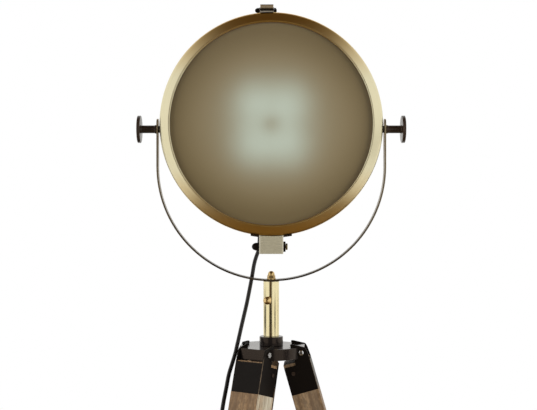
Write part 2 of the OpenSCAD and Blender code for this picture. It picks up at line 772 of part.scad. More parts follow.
module yoke() {
    arc_up = yoke_drop - yoke_half;              // centre of the arc below the tilt axis
    end_r = yoke_w / 2;
    color(brass_dark) difference() {
        union() {
            difference() {
                at_mast() translate([0, yoke_w / 2, head_z - arc_up]) rotate([90, 0, 0])
                    tube(yoke_out, yoke_in, yoke_w);
                at_mast() translate([-2 * yoke_out, -yoke_w, head_z - arc_up])
                    cube([4 * yoke_out, 2 * yoke_w, 2 * yoke_out]);
            }
            for (side = [-1, 1]) {
                at_mast() translate([side * yoke_half - yoke_t / 2, -yoke_w / 2, head_z - arc_up])
                    cube([yoke_t, yoke_w, arc_up + yoke_above - end_r]);
                at_mast() translate([side * yoke_half - yoke_t / 2, 0,
                    head_z + yoke_above - end_r])
                    rotate([0, 90, 0]) cylinder(r = end_r, h = yoke_t);
            }
        }
        at_mast() translate([-2 * yoke_out, 0, head_z]) rotate([0, 90, 0])
            cylinder(r = stud_hole_r, h = 4 * yoke_out);
        at_mast() translate([0, 0, yoke_under - 5]) cylinder(r = yoke_bolt_r + 0.1, h = 12);
    }
}

module yoke_stem() {
    color(steel) at_mast() {
        translate([0, 0, yoke_under - stem_len]) cylinder(r = stem_r, h = stem_len - seat);
        translate([0, 0, yoke_under - 1]) cylinder(r = yoke_bolt_r, h = yoke_t + 8);
    }
}

module dome_nut() {
    start = yoke_under + yoke_t + seat;
    hex_h = 6.2;
    dome_at = hex_h + 1.6;
    color(brass_bright) at_mast() translate([0, 0, start]) difference() {
        union() {
            cylinder(r = nut_r + 1, h = 1.4);
            hex(nut_r + 0.3, hex_h);
            cylinder(r = nut_r - 0.8, h = dome_at);
            translate([0, 0, dome_at]) intersection() {
                sphere(r = nut_r - 0.8);
                cylinder(r = nut_r, h = nut_r);
            }
        }
        translate([0, 0, -1]) cylinder(r = yoke_bolt_r + 0.05, h = dome_at + 1);
    }
}

module mast_tube() {
    bottom = hub_top - socket_depth + seat;
    color(brass_bright) difference() {
        at_mast() translate([0, 0, bottom]) tube(mast_r, mast_in, yoke_under - 2 * seat - bottom);
        on_set_screw() cylinder(r = screw_r + running, h = mast_r + 4);
    }
}

module mast_plug() {
    bottom = hub_top - socket_depth + seat;
    color(steel) difference() {
        at_mast() translate([0, 0, bottom]) cylinder(r = mast_in - running, h = 20);
        at_mast() translate([0, 0, bottom - 1]) cylinder(r = hub_bolt_r + 0.05, h = 16);
    }
}

// The set screw's axis, out from the mast
module on_set_screw() {
    at_mast() translate([0, 0, screw_z]) rotate([0, 0, screw_turn]) rotate([0, 90, 0]) children();
}

module set_screw() {
    reach = mast_r + ball_r + 2;
    color(brass_bright) on_set_screw() {
        translate([0, 0, stem_r + seat]) cylinder(r = screw_r, h = reach - stem_r - seat);
        translate([0, 0, mast_r + 0.4]) cylinder(r = screw_r + 0.9, h = 1.6);
        translate([0, 0, reach]) sphere(r = ball_r);
    }
}

module collar() {
    color(black_paint) at_mast() translate([0, 0, hub_top + seat])
        turned([[mast_r + running, 0], [collar_r, 0], [collar_r, collar_h - 1],
            [collar_r - 1, collar_h], [mast_r + running, collar_h]]);
}

// ---------------------------------------------------------------- hub and legs

module hub() {
    color(black_paint) difference() {
        union() {
            at_mast() turned([[0, hub_bottom], [hub_r, hub_bottom], [hub_r, hub_top - hub_edge],
                [hub_r - 0.3 * hub_edge, hub_top - 0.3 * hub_edge], [hub_r - hub_edge, hub_top],
                [0, hub_top]]);
            for (i = [RIGHT, FRONT, REAR])
                at_mast() rotate([0, 0, leg_angle(i)]) translate([0, -lug_w / 2, hub_bottom])
                    cube([pivot_r + lug_beyond, lug_w, hub_t]);
        }
        at_mast() translate([0, 0, hub_top - socket_depth])
            cylinder(r = mast_r + running, h = socket_depth + 1);
        at_mast() translate([0, 0, hub_bottom - 1]) cylinder(r = hub_bolt_r + 0.2, h = hub_t);
        for (i = [RIGHT, FRONT, REAR]) at_mast() rotate([0, 0, leg_angle(i)]) {
            translate([pivot_r, lug_w, pivot_h]) rotate([90, 0, 0])
                cylinder(r = pivot_bolt_r + running, h = 2 * lug_w);
            for (side = [-1, 1]) {
                translate([slot_in, side > 0 ? lug_w / 2 : -leg_w / 2 - ear_gap, hub_bottom - 1])
                    cube([hub_r, (leg_w - lug_w) / 2 + ear_gap, hub_t + 2]);
                translate([pivot_r, side > 0 ? leg_w : -lug_w / 2, pivot_h]) rotate([90, 0, 0])
                    cylinder(r = pivot_head_r + 0.6, h = leg_w - lug_w / 2);
            }
        }
    }
}

module hub_bolt() {
    color(steel) at_mast() {
        translate([0, 0, hub_bottom - seat - 1.5]) cylinder(r = 10, h = 1.5);
        translate([0, 0, hub_bottom - seat - 7]) hex(7.5, 5.5);
        translate([0, 0, hub_bottom - 2]) cylinder(r = hub_bolt_r, h = hub_t - socket_depth + 14);
    }
}

module leg_bracket(i) {
    inner = leg_w / 2 - bracket_t;
    color(black_paint) on_leg(i) difference() {
        union() {
            translate([leg_out - bracket_t, -leg_w / 2, -bracket_len])
                cube([bracket_t, leg_w, bracket_len + web_top]);
            for (side = [-1, 1]) translate([0, side > 0 ? leg_w / 2 : -inner, 0])
                rotate([90, 0, 0]) linear_extrude(bracket_t) polygon([
                    [-leg_in, -bracket_len], [leg_out, -bracket_len], [leg_out, web_top],
                    [ear_out + 1.6, ear_shoulder - 5], [ear_out, ear_shoulder],
                    [ear_in + 4, ear_tip - 0.8], [ear_in + 1.2, ear_tip], [ear_in, ear_tip - 1.4],
                    [ear_in, side_top], [-leg_in, side_top]]);
        }
        translate([0, leg_w, 0]) rotate([90, 0, 0]) cylinder(r = pivot_hole_r, h = 2 * leg_w);
        for (side = [-1, 1]) translate([screw_n, side * leg_w / 2, screw_u])
            rotate([90, 0, 0]) translate([0, 0, -4]) cylinder(r = wood_screw_r + 0.1, h = 8);
    }
}

// A slab between two heights above the floor, to trim a leg level
module level(z0, z1) {
    at_mast() translate([-3 * pivot_h, -3 * pivot_h, z0])
        cube([6 * pivot_h, 6 * pivot_h, z1 - z0]);
}

module leg_wood(i) {
    inner = leg_w / 2 - bracket_t;
    long = 1.2 * pivot_h;
    color(weathered_wood) difference() {
        on_leg(i) translate([-leg_in, -leg_w / 2, -long])
            cube([leg_in + leg_out, leg_w, long + wood_top]);
        on_leg(i) difference() {
            translate([-leg_in - 1, -leg_w, -bracket_len - seat])
                cube([2 * leg_w, 2 * leg_w, bracket_len]);
            translate([-leg_in - 2, -inner + seat, -bracket_len - 1])
                cube([leg_in + 2 + leg_out - bracket_t - seat, 2 * inner - 2 * seat, bracket_len + 2]);
        }
        level(-pivot_h, foot_h);
        on_leg(i) for (side = [-1, 1]) translate([screw_n, side * leg_w / 2, screw_u])
            rotate([90, 0, 0]) translate([0, 0, -16]) cylinder(r = wood_screw_r + 0.1, h = 32);
        if (i == FRONT) for (u = CLIP_AT)
            on_leg(i) translate([clip_n + clip_ear, -leg_w / 2 - 4, -u]) rotate([-90, 0, 0])
                cylinder(r = clip_nail_r + 0.1, h = 18);
    }
}

module leg_foot(i) {
    color(black_rubber) intersection() {
        on_leg(i) translate([-leg_in + foot_inset, -leg_w / 2 + foot_inset, -1.2 * pivot_h])
            cube([leg_in + leg_out - 2 * foot_inset, leg_w - 2 * foot_inset, 1.2 * pivot_h]);
        level(0, foot_h);
    }
}

module leg_pivot_bolt(i) {
    head_h = 3;
    color(steel) on_leg(i) rotate([-90, 0, 0]) {
        translate([0, 0, -leg_w / 2 - 1]) cylinder(r = pivot_bolt_r, h = leg_w + head_h + 1.5);
        translate([0, 0, -leg_w / 2 - seat]) mirror([0, 0, 1])
            turned([[0, 0], [pivot_head_r, 0], [pivot_head_r, 1], [pivot_head_r - 0.7, 2.2],
                [pivot_head_r - 2, head_h], [0, head_h]]);
        translate([0, 0, leg_w / 2 + seat]) difference() {
            hex(pivot_head_r, head_h);
            translate([0, 0, -1]) cylinder(r = pivot_bolt_r + 0.05, h = head_h + 2);
        }
    }
}

module leg_screw() {
    cylinder(r = wood_screw_r, h = 12);
    translate([0, 0, -1.3]) cylinder(r = 3.1, h = 1.3 - seat);
    translate([0, 0, -1]) cylinder(r = wood_screw_r, h = 2);
}

module leg_screws(i) {
    color(bronze) on_leg(i) for (side = [-1, 1]) translate([screw_n, side * leg_w / 2, screw_u])
        rotate([side * 90, 0, 0]) leg_screw();
}

// ---------------------------------------------------------------- cord

module cord_clips() {
    color(black_rubber) on_leg(FRONT) for (u = CLIP_AT)
        translate([clip_n, 0, -u - clip_len / 2]) {
            difference() {
                union() {
                    translate([0, -clip_side, 0]) cylinder(r = clip_out_r, h = clip_len);
                    translate([-clip_out_r, -clip_side, 0])
                        cube([2 * clip_out_r, clip_side - leg_w / 2 - seat, clip_len]);
                    translate([0, -leg_w / 2 - clip_sheet, 0])
                        cube([clip_ear + 3, clip_sheet - seat, clip_len]);
                }
                translate([0, -clip_side, -1]) cylinder(r = clip_bore_r, h = clip_len + 2);
                translate([clip_ear, -leg_w / 2 - 6, clip_len / 2]) rotate([-90, 0, 0])
                    cylinder(r = clip_nail_r + 0.05, h = 10);
            }
            translate([clip_ear, -leg_w / 2 - clip_sheet - 1, clip_len / 2]) rotate([-90, 0, 0]) {
                cylinder(r = clip_nail_r, h = 15);
                translate([0, 0, -0.6]) cylinder(r = 2, h = 1.6 - seat);
            }
        }
}

// Routes start a little late, so that two cords meet face to face
function late(p) = concat([p[0] + 0.3 * unit(p[1] - p[0])], [for (k = [1:len(p) - 1]) p[k]]);
joint_over = HEAD_ROUTE[len(HEAD_ROUTE) - 1][2];  // end of the head's cord over the yoke
head_run = concat([gland_tip, gland_tip + 6 * gland_down],
    [for (p = HEAD_ROUTE) [p[0], p[1], yoke_under + p[2]]]);
neck_run = [for (p = NECK_ROUTE) [p[0], p[1], hub_top + p[2] * (mast_h + joint_over)]];
leg_last = CLIP_AT[2] + 90;
leg_run = concat([for (p = LEG_ROUTE) [p[0], p[1], hub_top + p[2]]],
    [for (u = [CLIP_AT[0] - 10, CLIP_AT[0] + 60, CLIP_AT[1], CLIP_AT[2], leg_last])
        on_clip_line(u)]);
floor_run = concat([on_clip_line(leg_last)],
    [for (p = FLOOR_ROUTE) [leg_end[0] + p[0], leg_end[1] + p[1], p[2]]]);
tail_run = concat([for (p = TAIL_ROUTE) [leg_end[0] + p[0], leg_end[1] + p[1], p[2]]],
    [[leg_end[0] + plug_back[0], leg_end[1] + plug_back[1], plug_z]]);

module cord_head() {
    color(black_rubber) swept(curve(late(head_run), 2), cord_d / 2);
}

module cord_neck() {
    color(black_rubber) swept(curve(late(neck_run), 1), cord_d / 2);
}

module cord_leg() {
    color(black_rubber) swept(curve(late(leg_run), 2), cord_d / 2);
}

module cord_floor() {
    color(black_rubber) swept(curve(late(floor_run), 2), cord_d / 2);
}

// Middle of the coil, on the floor
module on_coil() {
    at_mast() translate([leg_end[0] + coil_at[0], leg_end[1] + coil_at[1], 0]) children();
}

coil_in = coil_r - (coil_turns - 1) * cord_d - cord_d / 2;

module cord_coil() {
    color(black_rubber) on_coil() tube(coil_r + cord_d / 2, coil_in, 2 * cord_d);
}

module cord_tail() {
    color(black_rubber) swept(curve(tail_run, 2), cord_d / 2);
}

module cord_tie() {
    across = coil_r + cord_d / 2 - coil_in;
    color([0.15, 0.15, 0.15]) on_coil() rotate([0, 0, -60])
        difference() {
            translate([coil_in - 1.6, -5, 0]) cube([across + 3.2, 10, 2 * cord_d + 1.4]);
            tube(coil_r + cord_d / 2 + seat, coil_in - seat, 2 * cord_d + seat);
            translate([0, 0, -1]) tube(coil_r + cord_d / 2 + seat, coil_in - seat, 3);
        }
}

module plug() {
    long = 34;
    wide = 27;
    at_mast() translate([leg_end[0] + plug_at[0], leg_end[1] + plug_at[1], plug_z])
        rotate([0, 0, plug_dir]) {
        color(black_rubber) {
            rotate([0, 90, 0]) translate([0, 0, -plug_relief + seat])
                cylinder(r1 = 4.4, r2 = 6, h = plug_relief);
            translate([0, -wide / 2, -plug_z]) cube([long, wide, 2 * plug_z]);
        }
        color(steel) for (side = [-1, 1])
            translate([long, side * 6.35 - 0.75, -3.15]) cube([17.5, 1.5, 6.3]);
    }
}

module on_switch() {
    at_mast() translate([leg_end[0] + switch_at[0], leg_end[1] + switch_at[1], 0])
        rotate([0, 0, switch_dir]) children();
}

module foot_switch() {
    half = switch_len / 2;
    color(black_rubber) on_switch() difference() {
        union() {
            translate([-half + switch_w / 2, -switch_w / 2, 0])
                cube([switch_len - switch_w, switch_w, switch_h]);
            for (side = [-1, 1]) translate([side * (half - switch_w / 2), 0, 0])
                cylinder(r = switch_w / 2, h = switch_h);
        }
        translate([0, 0, switch_cord_z + cord_d / 2 + 2]) cylinder(r = button_r + 0.2, h = switch_h);
    }
}

module switch_button() {
    low = switch_cord_z + cord_d / 2 + 2 + switch_travel + 0.2;
    color(steel) on_switch() translate([0, 0, low])
        cylinder(r = button_r, h = switch_h + 4 - low);
}

shell();
trunnion_plates();
rear_cap();
rear_cap_screws();
reflector();
lamp_holder();
holder_bracket();
bulb_glass();
bulb_cap();
cable_gland();
pivot_studs();
spacers();
hinge_plate();
hinge_bolt();
hinge_caps();
bezel();
lens();
lens_gasket();
lens_clips();
hinge_bracket();
latch_base();
latch_lever();
latch_bolt();
knob_left();
knob_right();
yoke();
yoke_stem();
dome_nut();
mast_tube();
mast_plug();
set_screw();
collar();
hub();
hub_bolt();
leg_wood(RIGHT);  // wood_right
leg_bracket(RIGHT);  // bracket_right
leg_pivot_bolt(RIGHT);  // pivot_bolt_right
leg_screws(RIGHT);  // screws_right
leg_foot(RIGHT);  // foot_right
leg_wood(FRONT);  // wood_front
leg_bracket(FRONT);  // bracket_front
leg_pivot_bolt(FRONT);  // pivot_bolt_front
leg_screws(FRONT);  // screws_front
leg_foot(FRONT);  // foot_front
leg_wood(REAR);  // wood_rear
leg_bracket(REAR);  // bracket_rear
leg_pivot_bolt(REAR);  // pivot_bolt_rear
leg_screws(REAR);  // screws_rear
leg_foot(REAR);  // foot_rear
cord_clips();
cord_head();
cord_neck();
cord_leg();
cord_floor();
cord_coil();
cord_tail();
cord_tie();
plug();
foot_switch();
switch_button();
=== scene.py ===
import json
import math
from contextlib import contextmanager
import bmesh
import bpy
import numpy as np
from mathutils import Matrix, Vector


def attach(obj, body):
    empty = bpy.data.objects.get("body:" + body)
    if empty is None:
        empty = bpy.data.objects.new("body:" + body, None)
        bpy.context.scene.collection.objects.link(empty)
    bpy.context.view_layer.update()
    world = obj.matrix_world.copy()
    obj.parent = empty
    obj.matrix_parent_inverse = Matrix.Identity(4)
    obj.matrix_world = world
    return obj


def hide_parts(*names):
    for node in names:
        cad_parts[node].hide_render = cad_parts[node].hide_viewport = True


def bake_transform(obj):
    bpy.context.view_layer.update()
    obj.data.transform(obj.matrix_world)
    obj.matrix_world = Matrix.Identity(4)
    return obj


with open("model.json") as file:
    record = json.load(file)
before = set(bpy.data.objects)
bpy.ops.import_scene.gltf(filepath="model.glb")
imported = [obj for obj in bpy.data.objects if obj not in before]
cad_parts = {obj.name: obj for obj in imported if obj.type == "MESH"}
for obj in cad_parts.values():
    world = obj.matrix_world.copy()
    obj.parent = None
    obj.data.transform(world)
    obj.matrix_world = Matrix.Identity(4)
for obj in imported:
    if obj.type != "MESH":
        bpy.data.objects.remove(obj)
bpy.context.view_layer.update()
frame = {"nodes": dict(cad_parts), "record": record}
cadNodes = frame["nodes"]

# the lamp's main places in the row frame, in metres, as in the part's source
mastX, mastY = -0.066897, -0.007914
headZ = 1.3522
lensZ = 1.3592
pivotHeight = 1.0
pivotRadius = 0.048
splay = math.radians(16)
legTurn = {"right": math.radians(-3), "front": math.radians(-123), "rear": math.radians(117)}
headCentre = (mastX, mastY, headZ)
lensCentre = (mastX, mastY, lensZ)
mastCentre = (mastX, mastY, 0)


def addObject(name, data):
    thing = bpy.data.objects.new(name, data)
    bpy.context.scene.collection.objects.link(thing)
    return thing


def pointAt(thing, target):
    aim = Vector(target) - thing.location
    thing.rotation_euler = aim.to_track_quat("-Z", "Y").to_euler()


# the camera looks straight ahead, a little downwards
view = {"lens": 69.43, "sensor": 36, "clipEnd": 30, "aimZ": headZ - 0.1206,
        "place": (mastX - 0.0044, mastY - 1.6508, headZ - 0.111)}
cameraData = bpy.data.cameras.new("camera")
cameraData.lens = view["lens"]
cameraData.sensor_width = view["sensor"]
cameraData.clip_end = view["clipEnd"]
camera = addObject("camera", cameraData)
camera.location = view["place"]
pointAt(camera, (view["place"][0], mastY, view["aimZ"]))
bpy.context.scene.camera = camera

# mesh helpers: every shape is worked out as whole arrays
meshRules = {"merge": 2e-6, "degenerate": 1e-7, "sharp": 40, "spanSteps": 40}  # metres; sharp in degrees
easing = {"segments": 2, "from": 30, "flatWithin": 0.6}  # both angles in degrees


@contextmanager
def editing(data):
    # opens a mesh for editing and writes it back afterwards
    work = bmesh.new()
    work.from_mesh(data)
    yield work
    work.to_mesh(data)
    work.free()


def newPiece(name, points, faces, uvs=None, smooth=True):
    # faces: rows of vertex numbers; uvs: one pair for each vertex
    data = bpy.data.meshes.new(name)
    data.from_pydata(np.asarray(points).reshape(-1, 3).tolist(), [], faces)
    if uvs is not None:
        layer = data.uv_layers.new(name="uv")
        loops = np.empty(len(data.loops), dtype=np.int32)
        data.loops.foreach_get("vertex_index", loops)
        layer.data.foreach_set("uv", np.asarray(uvs)[loops].ravel())
    data.polygons.foreach_set("use_smooth", [smooth] * len(data.polygons))
    data.update()
    return addObject(name, data)


def gridFaces(rows, columns, wrapRows=False):
    # quads between neighbouring points of a rows x columns grid whose columns close into a ring
    i = np.arange(rows if wrapRows else rows - 1)[:, None]
    j = np.arange(columns)[None, :]
    i1, j1 = (i + 1) % rows, (j + 1) % columns
    quads = np.stack([i * columns + j, i * columns + j1, i1 * columns + j1, i1 * columns + j], axis=-1)
    return quads.reshape(-1, 4).tolist()


def rounded(corners, steps):
    # a closed outline of (radius, distance, rounding) whose corners become short arcs: each corner is
    # cut back by its rounding along both sides, and the arc is a quadratic Bezier curve over the corner
    rows = np.asarray(corners, dtype=float)
    p, rounding = rows[:, :2], rows[:, 2]
    before, after = np.roll(p, 1, axis=0) - p, np.roll(p, -1, axis=0) - p
    lb, la = np.linalg.norm(before, axis=1), np.linalg.norm(after, axis=1)
    cut = np.minimum(rounding, np.minimum(lb, la) * 0.45)[:, None]
    a, b = p + before / lb[:, None] * cut, p + after / la[:, None] * cut
    t = np.linspace(0, 1, steps)[None, :, None]
    arcs = (1 - t) ** 2 * a[:, None] + 2 * t * (1 - t) * p[:, None] + t ** 2 * b[:, None]
    return arcs.reshape(-1, 2)


def axisFrame(direction):
    # three unit vectors: two across the direction and the direction itself
    w = np.asarray(direction, dtype=float)
    w = w / np.linalg.norm(w)
    helper = np.array([0.0, 0.0, 1.0]) if abs(w[2]) < 0.9 else np.array([1.0, 0.0, 0.0])
    u = np.cross(helper, w)
    u /= np.linalg.norm(u)
    return u, np.cross(w, u), w


def turned(name, outline, origin, direction, segments):
    # surface of revolution: each (radius r, distance d) of the outline, in mm, is carried round the
    # axis w, so that a point is origin + r (cos a u + sin a v) + d w
    u, v, w = axisFrame(direction)
    profile = np.asarray(outline, dtype=float) / 1000
    a = np.linspace(0, 2 * np.pi, segments, endpoint=False)
    r, d = np.maximum(profile[:, 0], 1e-6)[:, None, None], profile[:, 1][:, None, None]
    ring = np.cos(a)[None, :, None] * u + np.sin(a)[None, :, None] * v
    piece = newPiece(name, np.asarray(origin) + r * ring + d * w, gridFaces(len(profile), segments, True))
    # doubles merged, flat faces dropped, faces turned outwards
    with editing(piece.data) as work:
        bmesh.ops.remove_doubles(work, verts=work.verts, dist=meshRules["merge"])
        bmesh.ops.dissolve_degenerate(work, edges=work.edges, dist=meshRules["degenerate"])
        bmesh.ops.recalc_face_normals(work, faces=work.faces)
    # an edge whose two faces meet at a larger angle is drawn sharp
    with editing(piece.data) as work:
        limit = math.radians(meshRules["sharp"])
        for edge in work.edges:
            edge.smooth = len(edge.link_faces) != 2 or edge.calc_face_angle(0) < limit
    return piece


def easedCopy(node, width):
    # the CAD node's own shape, merged from its loose triangles, with its edges eased
    data = cadNodes[node].data.copy()
    data.name = node + "Eased"
    with editing(data) as work:
        bmesh.ops.remove_doubles(work, verts=work.verts, dist=meshRules["merge"])
        flat = math.radians(easing["flatWithin"])
        bmesh.ops.dissolve_limit(work, angle_limit=flat, verts=work.verts, edges=work.edges)
    data.materials.clear()
    data.polygons.foreach_set("use_smooth", [True] * len(data.polygons))
    piece = addObject(node + "Eased", data)
    bevel = piece.modifiers.new("bevel", "BEVEL")
    bevel.width = width
    bevel.segments = easing["segments"]
    bevel.limit_method = "ANGLE"
    bevel.angle_limit = math.radians(easing["from"])
    piece.modifiers.new("weigh", "WEIGHTED_NORMAL").keep_sharp = True
    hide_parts(node)
    return piece


def travelled(line):
    # the length of a line up to each of its points
    return np.concatenate([[0], np.cumsum(np.linalg.norm(np.diff(line, axis=0), axis=1))])


def throughPoints(route, spacing):
    # Catmull-Rom curve through the route, sampled at even steps of length
    p = np.asarray(route, dtype=float)
    q = np.vstack([2 * p[0] - p[1], p, 2 * p[-1] - p[-2]])
    t = np.linspace(0, 1, meshRules["spanSteps"], endpoint=False)[:, None]
    parts = [0.5 * (2 * b + t * (c - a) + t ** 2 * (2 * a - 5 * b + 4 * c - d)
                    + t ** 3 * (3 * b - a - 3 * c + d))
             for a, b, c, d in zip(q[:-3], q[1:-2], q[2:-1], q[3:])]
    line = np.vstack(parts + [p[-1:]])
    gone = travelled(line)
    wanted = np.linspace(0, gone[-1], max(4, int(gone[-1] / spacing) + 1))
    return np.stack([np.interp(wanted, gone, line[:, k]) for k in range(3)], axis=1), gone[-1]


def cordTube(name, line, radius, sides):
    # a round tube: rings square to the line, joined by quads, both ends closed by fans to a point
    ahead = np.gradient(line, axis=0)
    ahead /= np.linalg.norm(ahead, axis=1)[:, None]
    across = np.cross(ahead, np.array([0.31, 0.9, 0.2]))  # no cord runs within 9 degrees of this
    across /= np.linalg.norm(across, axis=1)[:, None]
    over = np.cross(ahead, across)
    a = np.linspace(0, 2 * np.pi, sides, endpoint=False)[None, :, None]
    rings = line[:, None] + radius * (np.cos(a) * across[:, None] + np.sin(a) * over[:, None])
    gone = travelled(line)
    points = np.vstack([rings.reshape(-1, 3), line[:1], line[-1:]])
    uv = np.stack(np.broadcast_arrays(np.arange(sides)[None, :] / sides, gone[:, None]), axis=-1)
    uv = np.vstack([uv.reshape(-1, 2), [[0, 0]], [[0, gone[-1]]]])
    tip, last = len(line) * sides, (len(line) - 1) * sides
    j = np.arange(sides)
    faces = gridFaces(len(line), sides)
    faces += np.stack([j, np.roll(j, -1), np.full(sides, tip)], axis=1)[:, ::-1].tolist()
    faces += np.stack([last + j, last + np.roll(j, -1), np.full(sides, tip + 1)], axis=1).tolist()
    piece = newPiece(name, points, faces, uv)
    with editing(piece.data) as work:
        bmesh.ops.recalc_face_normals(work, faces=work.faces)
    return piece


# the cord, from the head down the yoke, the hub and the front leg to the floor. Its routes are in mm
# from the mast's axis; clipN and clipSide are its distances from the leg's faces and middle at a clip
cordSize = {"diameter": 0.0065, "spacing": 0.004, "sides": 14, "clipN": 3, "clipSide": 30.35}
gland = {"turn": math.radians(5.6), "behind": 40, "down": 194, "lead": 6}
coil = {"outer": 42.5, "turns": 6.25, "pitch": 6.5, "low": 3.3, "samples": 151, "x": 59.5, "y": 275}
plug = {"turn": math.radians(116), "x": 78.5, "y": 359, "half": 22, "z": 11}


def clipLine(u):
    # the cord's place on the front leg's left face, u mm below the pivot
    a = legTurn["front"]
    reach = 1000 * pivotRadius + cordSize["clipN"] * math.cos(splay) + u * math.sin(splay)
    return [reach * math.cos(a) + cordSize["clipSide"] * math.sin(a),
            reach * math.sin(a) - cordSize["clipSide"] * math.cos(a),
            1000 * pivotHeight - u * math.cos(splay) + cordSize["clipN"] * math.sin(splay)]


def toRow(points):
    # from mm beside the mast to metres in the row frame
    return np.asarray(points, dtype=float) / 1000 + [mastX, mastY, 0]


glandDown = np.array([-math.sin(gland["turn"]), 0, -math.cos(gland["turn"])])
glandTip = np.array([0, gland["behind"], 1000 * lensZ]) + gland["down"] * glandDown
yokeTie, hubTie = [-31, 34, 1116], [-54.4, 6, 1008]
headRoute = toRow([glandTip, glandTip + gland["lead"] * glandDown,
                   [-23, 39.5, 1151], [-26, 38.6, 1142], [-28.4, 37, 1132], yokeTie])
neckRoute = toRow([yokeTie, [-35, 30, 1095], [-39.4, 26, 1073], [-43.8, 21, 1054], [-48, 16, 1036],
                   [-51.4, 11, 1021], hubTie])
legRoute = toRow([hubTie, [-57.4, 1, 995], [-62, -6.5, 980], [-67, -17, 964], [-70.4, -27, 946],
                  [-75.4, -43, 919], [-79.4, -58, 885], [-83, -69, 845], clipLine(200), clipLine(270),
                  clipLine(520), clipLine(830), clipLine(920)])
floorU = 1000 * pivotHeight / math.cos(splay) + cordSize["clipN"] * math.tan(splay)
legEnd = np.array([*clipLine(floorU)[:2], 0])
floorSteps = legEnd + [[11.4, 18.9, 80], [5.6, 15.4, 50], [3, 19.5, 26], [1, 28.5, 11], [0.5, 45, 4.2],
                       [0.9, 64, 3.3], [0.9, 87, 4.5], [1.3, 103, 6.9], [1.8, 119, 8], [25.2, 191, 8],
                       [29.3, 203, 6.9], [35.5, 216, 4.6], [45.5, 227, 3.4], [59.5, 232.5, 3.3]]
floorRoute = toRow([clipLine(920), *floorSteps])

# the coil: two turns inwards and one round on the floor, then up a layer, two turns outwards there
# and one and a quarter round
coilAngle = np.radians(np.linspace(-90, -90 + 360 * coil["turns"], coil["samples"]))
turnsDone = (coilAngle - coilAngle[0]) / (2 * np.pi)
inwards = np.where(turnsDone < 3, np.minimum(turnsDone, 2), np.clip(5 - turnsDone, 0, 2))
coilRadius = coil["outer"] - coil["pitch"] * inwards
coilHeight = coil["low"] + coil["pitch"] * np.clip((turnsDone - 2.8) / 0.4, 0, 1)
coilCentre = legEnd + [coil["x"], coil["y"], 0]
coilRoute = toRow(np.stack([coilCentre[0] + coilRadius * np.cos(coilAngle),
                            coilCentre[1] + coilRadius * np.sin(coilAngle), coilHeight], axis=1))
plugBack = [plug["x"] - plug["half"] * math.cos(plug["turn"]),
            plug["y"] - plug["half"] * math.sin(plug["turn"]), plug["z"]]
tailRoute = toRow(legEnd + [[102, 275, 9.8], [102.5, 291, 9.9], [100.9, 307, 10.2], [96, 323, 10.8],
                            plugBack])

cords = {}
for name, route, node in (
        ("cordHead", headRoute, "cord_head"), ("cordNeck", neckRoute, "cord_neck"),
        ("cordLeg", legRoute, "cord_leg"), ("cordFloor", floorRoute, "cord_floor"),
        ("cordCoil", coilRoute, "cord_coil"), ("cordTail", tailRoute, "cord_tail")):
    line, length = throughPoints(route, cordSize["spacing"])
    piece = cordTube(name, line, cordSize["diameter"] / 2, cordSize["sides"])
    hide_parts(node)
    cords[name] = (piece, line, length)
    print("cord", name, round(length, 4))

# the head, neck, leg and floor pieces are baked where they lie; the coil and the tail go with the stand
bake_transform(cords["cordHead"][0])
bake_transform(cords["cordNeck"][0])
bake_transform(cords["cordLeg"][0])
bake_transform(cords["cordFloor"][0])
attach(cords["cordCoil"][0], "stand")
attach(cords["cordTail"][0], "stand")

# materials: shared effects first, as groups


def makeGroup(name, inputs, outputs):
    # inputs: label to default, None for a vector and four numbers for a colour; outputs: labels, of
    # which Color is a colour and the others are numbers
    group = bpy.data.node_groups.new(name, "ShaderNodeTree")
    kinds = {type(None): "NodeSocketVector", tuple: "NodeSocketColor", float: "NodeSocketFloat"}
    for label, default in inputs.items():
        socket = group.interface.new_socket(name=label, in_out="INPUT", socket_type=kinds[type(default)])
        if default is not None:
            socket.default_value = default
    for label in outputs:
        kind = "NodeSocketColor" if label == "Color" else "NodeSocketFloat"
        group.interface.new_socket(name=label, in_out="OUTPUT", socket_type=kind)
    return group, group.nodes.new("NodeGroupInput").outputs, group.nodes.new("NodeGroupOutput").inputs


def addNode(tree, kind, inputs=None, **settings):
    # inputs: socket name or number to a value or another node's output
    node = tree.nodes.new(kind)
    for key, value in settings.items():
        setattr(node, key, value)
    for key, value in (inputs or {}).items():
        if isinstance(value, bpy.types.NodeSocket):
            tree.links.new(value, node.inputs[key])
        else:
            node.inputs[key].default_value = value
    return node


def useGroup(tree, group, inputs):
    return addNode(tree, "ShaderNodeGroup", inputs, node_tree=group).outputs


def maths(tree, operation, a, b=0.0, c=0.0):
    return addNode(tree, "ShaderNodeMath", {0: a, 1: b, 2: c}, operation=operation).outputs[0]


def times(tree, a, b):
    return maths(tree, "MULTIPLY", a, b)


def mixColours(tree, factor, a, b):
    # a plain colour is three numbers
    a, b = ((*c, 1) if isinstance(c, tuple) else c for c in (a, b))
    return addNode(tree, "ShaderNodeMix", {0: factor, 6: a, 7: b}, data_type="RGBA").outputs[2]


def mapRange(tree, value, low, high, toLow=0.0, toHigh=1.0):
    return addNode(tree, "ShaderNodeMapRange", {0: value, 1: low, 2: high, 3: toLow, 4: toHigh}).outputs[0]


def noise(tree, vector, scale, detail=3.0, rough=0.5):
    return addNode(tree, "ShaderNodeTexNoise", {"Vector": vector, "Scale": scale, "Detail": detail,
                                                "Roughness": rough}).outputs[0]


def separated(tree, vector):
    return addNode(tree, "ShaderNodeSeparateXYZ", {0: vector}).outputs


def stretched(tree, vector, scale):
    return addNode(tree, "ShaderNodeMapping", {"Vector": vector, "Scale": scale}).outputs[0]


def rotated(tree, vector, rotation):
    return addNode(tree, "ShaderNodeMapping", {"Vector": vector, "Rotation": rotation}).outputs[0]


